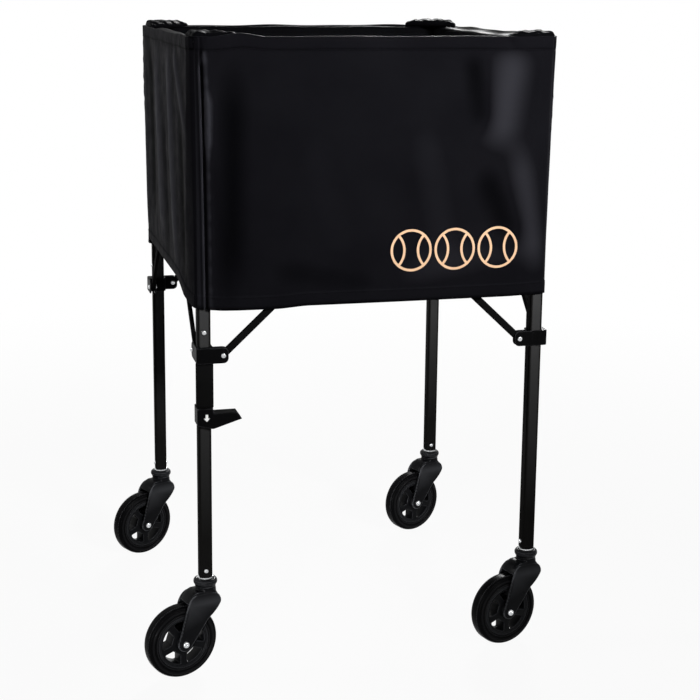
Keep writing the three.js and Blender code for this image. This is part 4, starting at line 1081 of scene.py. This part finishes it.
def skirt_painted_light(side, u, v):
    """Above zero for painted highlights on fold crests, the seam ridge, the tuft at its top and the strip
    before the seam; below zero for painted shade in fold valleys, the seam gutter and along the front's
    lower edge, and darker along the stitch lines and across one line of the left panel's hem.
    """
    down = v * SKIRT_DEPTH
    up = SKIRT_DEPTH - down
    past = past_seam(u, v)
    crests = sum(fold(u, v, crease) for crease in FOLDS[side]) * step_up(down, 0, 40 * MM)
    # The right and back panels get weaker painted highlights and shade on their folds.
    if side in ("right", "back"):
        crests *= 0.45
    ridge = 2.6 * bulge(past + 1.4 * MM, 1.2 * MM) * step_up(v, 0.085, 0.13)
    tuft = 1.3 * bulge(past - 6.0 * MM, 2.6 * MM) * bulge(v - 0.072, 0.018)
    line = bulge(down - STITCH_DROP, 1.2 * MM)
    border = step_up(up, 7 * MM, 2 * MM) if side == "front" else 0
    corner = 0.42 * step_up(past, -4 * MM, -9 * MM) * step_up(v, 0.02, 0.05)
    join = bulge(u - 0.72, 0.004) * step_up(down, HEM_WIDTH, HEM_WIDTH - 2 * MM) if side == "left" else 0
    line_depth = 1.1 if side == "left" else 0.5
    marks = ridge + tuft + corner - line_depth * line - 0.6 * border - join
    return (crests + corner_seam(u, v)) / (4.0 * MM) + marks


def skirt_point(side, u, v):
    """A point of the outer face, in the side's own frame."""
    half = HALF_PITCH + corner_reach(v)
    corner_round = CORNER_ROUND_TOP + (CORNER_ROUND_BOTTOM - CORNER_ROUND_TOP) * v
    end = corner_round * (1 - sqrt(0.5))
    from_end = end + (half - end) * min(u, 1 - u) * 2
    drop = 0
    if from_end < corner_round:
        drop = corner_round - sqrt(corner_round ** 2 - (corner_round - from_end) ** 2)
    x = (half - from_end) * (1 if u > 0.5 else -1)
    z = RIM - v * SKIRT_DEPTH - v ** 3 * hem_drop(side, u) + rim_wave(side, u) * (1 - step_up(v, 0, 0.12))
    reach = skirt_reach(u, v) - drop + skirt_relief(side, u, v)
    return Vector((x, -HALF_PITCH - reach, z))


def turned_in_point(side, u, reach, height):
    """A point of the cloth that is turned in over the frame."""
    half = HALF_PITCH + reach
    dip = 1.2 * MM * sin(u * pi * 7 + SIDES.index(side)) * step_up(min(u, 1 - u), 0.02, 0.14)
    share = step_up(reach, 22 * MM, 10 * MM) * step_up(reach, -14 * MM, -4 * MM)
    wave = rim_wave(side, u) * step_up(reach, -6 * MM, 20 * MM)
    return Vector(((u * 2 - 1) * half, -half, height + dip * share + wave))


SEAM_SHARES = [step * 1.1 * MM / SKIRT_WIDTH for step in range(22)]
MIDDLE_SHARES = [0.04 + 0.92 * step / 116 for step in range(117)]
EDGE_SHARES = [0, 0.0014, 0.003, 0.005, 0.0075, 0.0105, 0.014, 0.018, 0.0225, 0.028, 0.034]
COLUMNS = SEAM_SHARES + MIDDLE_SHARES + [1 - share for share in reversed(EDGE_SHARES)]
ROW_DROPS = [0, 0.8, 2.5, 6, 11, 16, 18.2, 19.4, 20.6, 21.2, 22.0, 22.8, 25] + list(range(29, 414, 5))
ROW_DROPS += [418.0, 420.2, 421.2, 421.9, 422.6, 423.8, 425.2, 428, 432, 436, 440, 442.2, 443]
ROWS = [drop * MM / SKIRT_DEPTH for drop in ROW_DROPS]
# The turned-in cloth from the lining up and out to the rim: reach from the leg line, height above the rim
TURNED_IN = [(-14.5, -19), (-14.5, -13), (-14.0, -9.6), (-12.4, -7.4), (-9.5, -6.4), (-5, -6.2), (0, -6.1),
             (5, -5.8), (10, -4.9), (14, -3.2), (17, -1.2), (19.2, 0.5), (20.8, 1.2), (22.3, 0.9)]


def cloth_grid(name, points, uvs, rows, columns):
    """A grid of cloth, its UV map in metres."""
    faces = []
    for row in range(rows - 1):
        for column in range(columns - 1):
            first = row * columns + column
            faces.append((first, first + columns, first + columns + 1, first + 1))
    mesh = bpy.data.meshes.new(name)
    mesh.from_pydata(points, [], faces)
    layer = mesh.uv_layers.new(name="cloth")
    for loop in mesh.loops:
        layer.data[loop.index].uv = uvs[loop.vertex_index]
    mesh.polygons.foreach_set("use_smooth", [True] * len(mesh.polygons))
    return mesh


def thickened(name, mesh, thickness):
    """Gives a sheet its thickness on its inner side."""
    piece = link(name, mesh)
    solid = piece.modifiers.new("thickness", "SOLIDIFY")
    solid.thickness = thickness
    solid.offset = -1
    solid.use_quality_normals = True
    return link(name, smoothed(made_mesh(piece), 70))


def panel(side):
    points = []
    uvs = []
    painted_light_values = []
    for reach, rise in TURNED_IN:
        for u in COLUMNS:
            ease = (skirt_reach(u, 0) - SKIRT_REACH) * step_up(reach, 8, 22)
            points.append(turned_in_point(side, u, reach * MM + ease, RIM + rise * MM))
            uvs.append(((u - 0.5) * 0.624, (RIM + (23 - reach) * MM)))
            # The turned-in cloth is painted in shade, except for a slight painted highlight at the front
            # panel's left end.
            painted_light_values.append(0.15 if side == "front" and u < 0.2 else -0.6)
    for v in ROWS:
        for u in COLUMNS:
            point = skirt_point(side, u, v)
            points.append(point)
            uvs.append((point.x, point.z))
            painted_light_values.append(skirt_painted_light(side, u, v))
    mesh = cloth_grid(f"panel_{side}", points, uvs, len(TURNED_IN) + len(ROWS), len(COLUMNS))
    layer = mesh.attributes.new("rubbed", "FLOAT", "POINT")
    layer.data.foreach_set("value", painted_light_values)
    mesh.transform(side_place(side))
    return thickened(f"panel_{side}", mesh, CLOTH)


# The weave is drawn coarser than it is, so that it can be seen
THREAD = 1.1 * MM


def woven_nylon(name, dark, light, shine, with_print=False):
    """Coated nylon: a fine plain weave, a soft sheen, slightly uneven dye, with painted highlights where the
    cloth is raised and painted shade in its seams and valleys.
    """
    material, tree = new_material(name)
    place = node(tree, "ShaderNodeUVMap", uv_map="cloth").outputs["UV"]
    axes = node(tree, "ShaderNodeSeparateXYZ", {"Vector": place}).outputs
    threads = [result(tree, "SINE", result(tree, "MULTIPLY", axes[axis], 2 * pi / THREAD)) for axis in "XY"]
    weave = result(tree, "MULTIPLY", *threads)
    crumple = object_noise(tree, 38, 6)
    base = mixed_colour(tree, ramp(tree, object_noise(tree, 9), 0.3, 0.7, 0, 1), dark, light)
    # Painted highlights on raised cloth, then painted shade in the seams and valleys.
    base = painted_light_tone(tree, base, (0.0195, 0.0195, 0.0235), 0.12, 1.0)
    base = painted_light_tone(tree, base, (0.0006, 0.0006, 0.0008), -0.1, -0.7)
    if with_print:
        ink_tone = mixed_colour(tree, crumple, (0.56, 0.36, 0.22), (0.64, 0.42, 0.27))
        base = mixed_colour(tree, ball_row_mask(tree, axes), base, ink_tone)
    soft = bump(tree, crumple, 0.10, 0.004)
    surface(tree, base, ramp(tree, crumple, 0.3, 0.7, 0.44, 0.58),
            bump(tree, weave, 0.14, 0.0002, Normal=soft), shine, {"Specular Tint": (0.8, 0.87, 1)})
    return material


# The print: three plain balls in a row, each a ring with two curved seams
PRINT_MIDDLE = (0.1355, 0.7305)
BALL_RADIUS = 0.034
BALL_PITCH = 0.077
LINE = 0.0042


def ball_row_mask(tree, axes):
    def math(operation, *values):
        return result(tree, operation, *values)

    up = math("SUBTRACT", axes["Y"], PRINT_MIDDLE[1])
    shifted = math("ADD", math("SUBTRACT", axes["X"], PRINT_MIDDLE[0]), BALL_PITCH * 1.5)
    in_row = math("MULTIPLY", math("GREATER_THAN", shifted, 0.0), math("LESS_THAN", shifted, BALL_PITCH * 3))
    local = math("SUBTRACT", math("FLOORED_MODULO", shifted, BALL_PITCH), BALL_PITCH / 2)

    def ring(offset, radius):
        sideways = math("SUBTRACT", local, offset)
        distance = math("SQRT", math("ADD", math("MULTIPLY", sideways, sideways), math("MULTIPLY", up, up)))
        return math("LESS_THAN", math("ABSOLUTE", math("SUBTRACT", distance, radius)), LINE / 2), distance

    outline, distance = ring(0.0, BALL_RADIUS)
    seams = math("MAXIMUM", *[ring(side * BALL_RADIUS * 1.45, BALL_RADIUS * 1.1)[0] for side in (-1, 1)])
    inside = math("LESS_THAN", distance, BALL_RADIUS)
    return math("MULTIPLY", math("MAXIMUM", outline, math("MULTIPLY", seams, inside)), in_row)


NYLON_DARK = (0.0030, 0.0029, 0.0038)
NYLON_LIGHT = (0.0042, 0.0041, 0.0052)
nylon = woven_nylon("black_nylon", NYLON_DARK, NYLON_LIGHT, 0.0024)
printed_nylon = woven_nylon("black_nylon_printed", NYLON_DARK, NYLON_LIGHT, 0.006, True)

SIDE_BODY = {"front": "leg_front_left", "right": "leg_front_right", "back": "leg_back_left",
             "left": "leg_front_left"}


def draw_up(piece):
    """Gives the piece a mesh of its own."""
    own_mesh(piece)


def stitch_tree():
    """A row of stitches: short rounded threads at equal spacing along a line."""
    tree, entry = new_tree("Stitches", [
        ("Spacing", "Float", 4.2 * MM), ("Stitch length", "Float", 3 * MM),
        ("Thread radius", "Float", 0.42 * MM), ("Finish", "Material", None),
    ])
    line = node(tree, "GeometryNodeMeshToCurve", {"Mesh": entry["Geometry"]}).outputs["Curve"]
    spaced = node(tree, "GeometryNodeResampleCurve", {"Curve": line, "Length": entry["Spacing"]},
                  mode="LENGTH")
    tangent = node(tree, "GeometryNodeInputTangent").outputs["Tangent"]
    turn = node(tree, "FunctionNodeAlignRotationToVector", {"Vector": tangent}, axis="Z").outputs["Rotation"]
    thread = node(tree, "GeometryNodeMeshIcoSphere", {"Radius": 1, "Subdivisions": 1}).outputs["Mesh"]
    size = node(tree, "ShaderNodeCombineXYZ", {
        "X": entry["Thread radius"], "Y": entry["Thread radius"],
        "Z": result(tree, "DIVIDE", entry["Stitch length"], 2)}).outputs["Vector"]
    stitches = set_on_points(tree, spaced.outputs["Curve"], thread, Rotation=turn, Scale=size)
    return end_tree(tree, stitches, entry["Finish"])


STITCHES = stitch_tree()


def stitched(name, lines, matrix, material):
    """Stitches along each line of points, as one mesh."""
    points = []
    edges = []
    for line in lines:
        first = len(points)
        points += [matrix @ point for point in line]
        edges += [(first + step, first + step + 1) for step in range(len(line) - 1)]
    mesh = bpy.data.meshes.new(name)
    mesh.from_pydata(points, edges, [])
    piece = link(name, mesh)
    modifier = piece.modifiers.new("stitches", "NODES")
    modifier.node_group = STITCHES
    set_input(modifier, "Finish", material)
    return finish_mesh(piece, 60)


thread_black = mottled("black_thread", (0.0012, 0.0012, 0.0016), (0.0026, 0.0026, 0.0032), 2600, 2,
                       0.55, 0.01)

panels = {}
for side in SIDES:
    piece = panel(side)
    material = printed_nylon if side == "front" else nylon
    dress(piece, SIDE_BODY[side], "black_nylon", material, f"skirt_{side}")
    panels[side] = piece
    draw_up(piece)
    stitch_shares = [0.012 + 0.976 * step / 150 for step in range(151)]
    out = Vector((0, -0.15 * MM, 0))
    lines = []
    for drop in (STITCH_DROP, SKIRT_DEPTH - STITCH_DROP):
        lines.append([skirt_point(side, u, drop / SKIRT_DEPTH) + out for u in stitch_shares])
    hems = stitched(f"hem_stitches_{side}", lines, side_place(side), thread_black)
    dress(hems, SIDE_BODY[side], "black_nylon", thread_black, f"skirt_{side}")
    draw_up(hems)

# Lining
# The bag's inner walls, the same cloth in a darker copy that paints them in shade, hang inside the legs from
# the turned-in rim to the floor.
# Each slackens a little between the corners where it is sewn.
LINING_REACH = -14.5 * MM
FLOOR_HEIGHT = RIM - SKIRT_DEPTH + 8 * MM
LINING_TOP = RIM - 10 * MM
LINING_BOTTOM = FLOOR_HEIGHT - 2 * MM
# A darker copy of the bag's nylon, as painted shade, for the lining, the floor and the corner pockets.
shaded_nylon = woven_nylon("black_lining", (0.0012, 0.0012, 0.0015), (0.0019, 0.0019, 0.0023), 0.003)


def lining(side):
    points = []
    uvs = []
    rows = [step / 48 for step in range(49)]
    columns = [step / 90 for step in range(91)]
    half = HALF_PITCH + LINING_REACH - 0.2 * MM
    phase = SIDES.index(side) * 1.7
    bottom = LINING_BOTTOM - (4 * MM if side in ("left", "right") else 0)
    for v in rows:
        for u in columns:
            slack = sin(u * pi) ** 0.7 * sin(min(1, v * 1.04) * pi) ** 0.6
            wave = 0.55 + 0.25 * sin(u * 19 + v * 2.2 + phase) + 0.2 * sin(u * 37 - v * 3 + phase * 2)
            inward = 6.5 * MM * slack * wave
            z = LINING_TOP + (bottom - LINING_TOP) * v
            points.append(Vector(((u * 2 - 1) * half, inward + 0.1 * MM - half, z)))
            uvs.append(((u * 2 - 1) * half, z))
    mesh = cloth_grid(f"lining_{side}", points, uvs, len(rows), len(columns))
    mesh.transform(side_place(side))
    return thickened(f"lining_{side}", mesh, -1.0 * MM)


for side in SIDES:
    piece = lining(side)
    dress(piece, SIDE_BODY[side], "black_nylon", shaded_nylon, f"liner_{side}")
    draw_up(piece)

# Floor
# Two halves of doubled cloth, sewn to the lining and meeting along the middle.
# They sag under their own weight and fold down as the cart closes.
FLOOR_HALF = HALF_PITCH + LINING_REACH - 1.8 * MM


def floor_half(end):
    """One half of the floor, from its hinge line at the lining to the middle of the bag."""
    points = []
    uvs = []
    rows = [step / 34 for step in range(35)]
    columns = [step / 64 for step in range(65)]
    for v in rows:
        for u in columns:
            sag = 6 * MM * sin(u * pi) * sin(v * pi / 2)
            wave = 0.8 * MM * sin(u * 23 + v * 4) * sin(u * pi) * sin(v * pi)
            ridge = 0.8 * MM * bulge((1 - v) * FLOOR_HALF - 7 * MM, 2 * MM)
            x = (u * 2 - 1) * FLOOR_HALF
            y = -FLOOR_HALF + v * (FLOOR_HALF - 0.02 * MM)
            points.append(Vector((x, y, FLOOR_HEIGHT - sag + wave + ridge)))
            uvs.append((x, y))
    faces_up = cloth_grid(f"floor_{end}", points, uvs, len(rows), len(columns))
    faces_up.flip_normals()
    turn = Matrix.Rotation(0 if end == "front" else pi, 4, "Z")
    faces_up.transform(Matrix.Translation(CART_CENTRE) @ turn)
    return thickened(f"floor_{end}", faces_up, 1.8 * MM)


for end in ("front", "back"):
    piece = floor_half(end)
    dress(piece, f"floor_{end}", "black_nylon", shaded_nylon, f"bag_floor_{end}")
    draw_up(piece)

# Corner pockets
# Padded three-cornered flaps sewn over the leg tops, which hold the bag up on the frame.
# Each swells between its seams; it is shaped by a short cloth simulation.
SHELF = RIM - 6.4 * MM
POCKET_FOOT = [(-15.6, -15.6), (68, -15.6), (68, -6.6), (-6.6, 68), (-15.6, 68)]
POCKET_LEVELS = [(1.0, 0.0), (1.0, 5.5), (0.93, 10.4), (0.66, 13.6)]


def pocket_start():
    shape = bmesh.new()
    rings = []
    for spread, rise in POCKET_LEVELS:
        foot = in_mm(POCKET_FOOT)
        rings.append([shape.verts.new((x * spread, y * spread, rise * MM)) for x, y in foot])
    for lower, upper in zip(rings, rings[1:]):
        for index in range(len(lower)):
            after = (index + 1) % len(lower)
            shape.faces.new((lower[index], lower[after], upper[after], upper[index]))
    shape.faces.new(rings[-1])
    shape.faces.new(rings[0][::-1])
    bmesh.ops.recalc_face_normals(shape, faces=shape.faces)
    return piece_from(shape, "pocket")


def swell(piece, voxel, pressure, cap):
    """Inflates a padded piece a little with a cloth simulation and caps how far it moves."""
    remesh = piece.modifiers.new("remesh", "REMESH")
    remesh.mode = "VOXEL"
    remesh.voxel_size = voxel
    piece = finish_mesh(piece, 180)
    rest = [vertex.co.copy() for vertex in piece.data.vertices]
    cloth = piece.modifiers.new("cloth", "CLOTH")
    cloth.settings.use_pressure = True
    cloth.settings.uniform_pressure_force = pressure
    cloth.settings.effector_weights.gravity = 0
    cloth.settings.quality = 6
    pinned = piece.vertex_groups.new(name="foot")
    foot = [v.index for v in piece.data.vertices if v.co.z < voxel]
    pinned.add(foot, 1.0, "REPLACE")
    cloth.settings.vertex_group_mass = "foot"
    for moment in range(1, 21):
        bpy.context.scene.frame_set(moment)
    piece = finish_mesh(piece, 180)
    bpy.context.scene.frame_set(1)
    for vertex, start in zip(piece.data.vertices, rest):
        move = vertex.co - start
        if move.length > cap:
            vertex.co = start + move.normalized() * cap
    return piece


def build_pocket():
    piece = swell(pocket_start(), 2.8 * MM, 4, 4 * MM)
    for vertex in piece.data.vertices:
        x, y, z = vertex.co / MM
        top = step_up(z, 2, 9)
        crumple = sin(x * 0.19 + y * 0.07) * sin(y * 0.17 - x * 0.05) + 0.4 * sin(x * 0.37 - y * 0.31)
        edge = min(x + 15.6, y + 15.6)
        seam = bulge(edge - 7, 1.8) * top
        vertex.co.z += (1.6 * crumple * top - 1.1 * seam) * MM
    smooth = piece.modifiers.new("finer", "SUBSURF")
    smooth.levels = 1
    smooth.render_levels = 1
    return finish_mesh(piece, 180)


def box_mapped(piece):
    """A UV map in metres, seen from above, for cloth that was remeshed."""
    layer = piece.data.uv_layers.new(name="cloth")
    for loop in piece.data.loops:
        place = piece.data.vertices[loop.vertex_index].co
        layer.data[loop.index].uv = (place.x, place.y + place.z)
    return piece


pocket = box_mapped(build_pocket())
for corner in CORNERS:
    settled = 3.5 * MM if corner == "back_left" else 0
    place = corner_place(corner) @ Matrix.Translation((0, 0, SHELF + CLOTH - settled))
    turned = copy_to(pocket, f"pocket_{corner}", place)
    dress(turned, f"leg_{corner}", "black_nylon", shaded_nylon, f"corner_pocket_{corner}")
bpy.data.objects.remove(pocket)
bpy.data.objects.remove(button_head)

# Studio
# A pale floor and a white surround, with one main soft light, three weaker ones and a wide top light.
# The camera stands in front and a little to the left, slightly above the rim of the bag.
CAMERA_PLACE = Vector((-0.673, -2.730, 1.196)) + CART_CENTRE
CAMERA_YAW = radians(14.52)
CAMERA_PITCH = radians(11.27)
CAMERA_ROLL = radians(0.60)
FOCAL_PIXELS = 1518.0
IMAGE_SIZE = 700
MIDDLE_ROW = 271

level_right = Vector((cos(CAMERA_YAW), -sin(CAMERA_YAW), 0))
ahead = Vector((sin(CAMERA_YAW), cos(CAMERA_YAW), 0))
forward = ahead * cos(CAMERA_PITCH) - Vector((0, 0, sin(CAMERA_PITCH)))
level_up = level_right.cross(forward)
right = level_right * cos(CAMERA_ROLL) + level_up * sin(CAMERA_ROLL)
upward = level_up * cos(CAMERA_ROLL) - level_right * sin(CAMERA_ROLL)
camera_data = bpy.data.cameras.new("camera")
camera_data.sensor_width = 36
camera_data.lens = FOCAL_PIXELS / IMAGE_SIZE * 36
camera_data.shift_y = -(IMAGE_SIZE / 2 - MIDDLE_ROW) / IMAGE_SIZE
camera_data.clip_end = 60
camera = link("camera", camera_data)
camera.matrix_world = (Matrix.Translation(CAMERA_PLACE)
                       @ Matrix((right, upward, -forward)).transposed().to_4x4())
bpy.context.scene.camera = camera


def area_light(name, place, target, size, power, spread=180):
    data = bpy.data.lights.new(name, "AREA")
    data.shape = "RECTANGLE"
    data.size = size[0]
    data.size_y = size[1]
    data.energy = power
    data.spread = radians(spread)
    lamp = link(name, data)
    lamp.location = place
    lamp.rotation_euler = (Vector(target) - Vector(place)).to_track_quat("-Z", "Y").to_euler()


area_light("front soft light", (1.8, -3.7, 2.6), (0.25, -0.3, 1.12), (1.2, 0.8), 12.4, 26)
area_light("low left light", (-2.0, -3.2, 0.5), (-0.1, -0.3, 0.02), (0.3, 0.3), 0.75, 14)
area_light("left soft light", (-4.0, 0.9, 2.4), (-0.3, 0, 1.0), (1.0, 0.8), 2.6, 22)
area_light("back soft light", (1.6, 3.8, 2.6), (0.1, 0.3, 1.0), (1.2, 0.8), 10, 26)
area_light("top light", (0.4, 1.0, 3.8), (0, 0, 0.8), (2.4, 2.4), 5)

floor_shape = bmesh.new()
bmesh.ops.create_grid(floor_shape, x_segments=1, y_segments=1, size=12)
studio_floor = piece_from(floor_shape, "studio_floor")


def seen_directly(tree):
    """One where the camera, a reflection or clear glass looks at it, zero where it only gives light."""
    rays = node(tree, "ShaderNodeLightPath").outputs
    seen = result(tree, "MAXIMUM", rays["Is Camera Ray"], rays["Is Glossy Ray"])
    return result(tree, "MAXIMUM", seen, rays["Is Transmission Ray"])


pale, pale_tree = new_material("pale_floor")
floor_place = node(pale_tree, "ShaderNodeTexCoord").outputs["Object"]
from_middle = node(pale_tree, "ShaderNodeVectorMath", {0: floor_place}, operation="LENGTH").outputs["Value"]
glow_share = result(pale_tree, "MULTIPLY", seen_directly(pale_tree),
                    ramp(pale_tree, from_middle, 0.8, 2.6, 0.94, 1.0))
diffuse = node(pale_tree, "ShaderNodeBsdfDiffuse", {"Color": (0.55, 0.55, 0.55)}).outputs["BSDF"]
glow = node(pale_tree, "ShaderNodeEmission", {"Color": (1, 1, 1)}).outputs["Emission"]
blend = node(pale_tree, "ShaderNodeMixShader", {"Fac": glow_share, 1: diffuse, 2: glow}).outputs["Shader"]
pale_tree.links.new(blend, pale_tree.nodes["Material Output"].inputs["Surface"])
studio_floor.data.materials.append(pale)

world = bpy.data.worlds.new("surround")
bpy.context.scene.world = world
world.use_nodes = True
sky = world.node_tree
feed(sky, sky.nodes["Background"].inputs, {
    "Color": (1, 1, 1), "Strength": ramp(sky, seen_directly(sky), 0, 1, 0.14, 1.0)})

bpy.context.scene.view_settings.view_transform = "Standard"
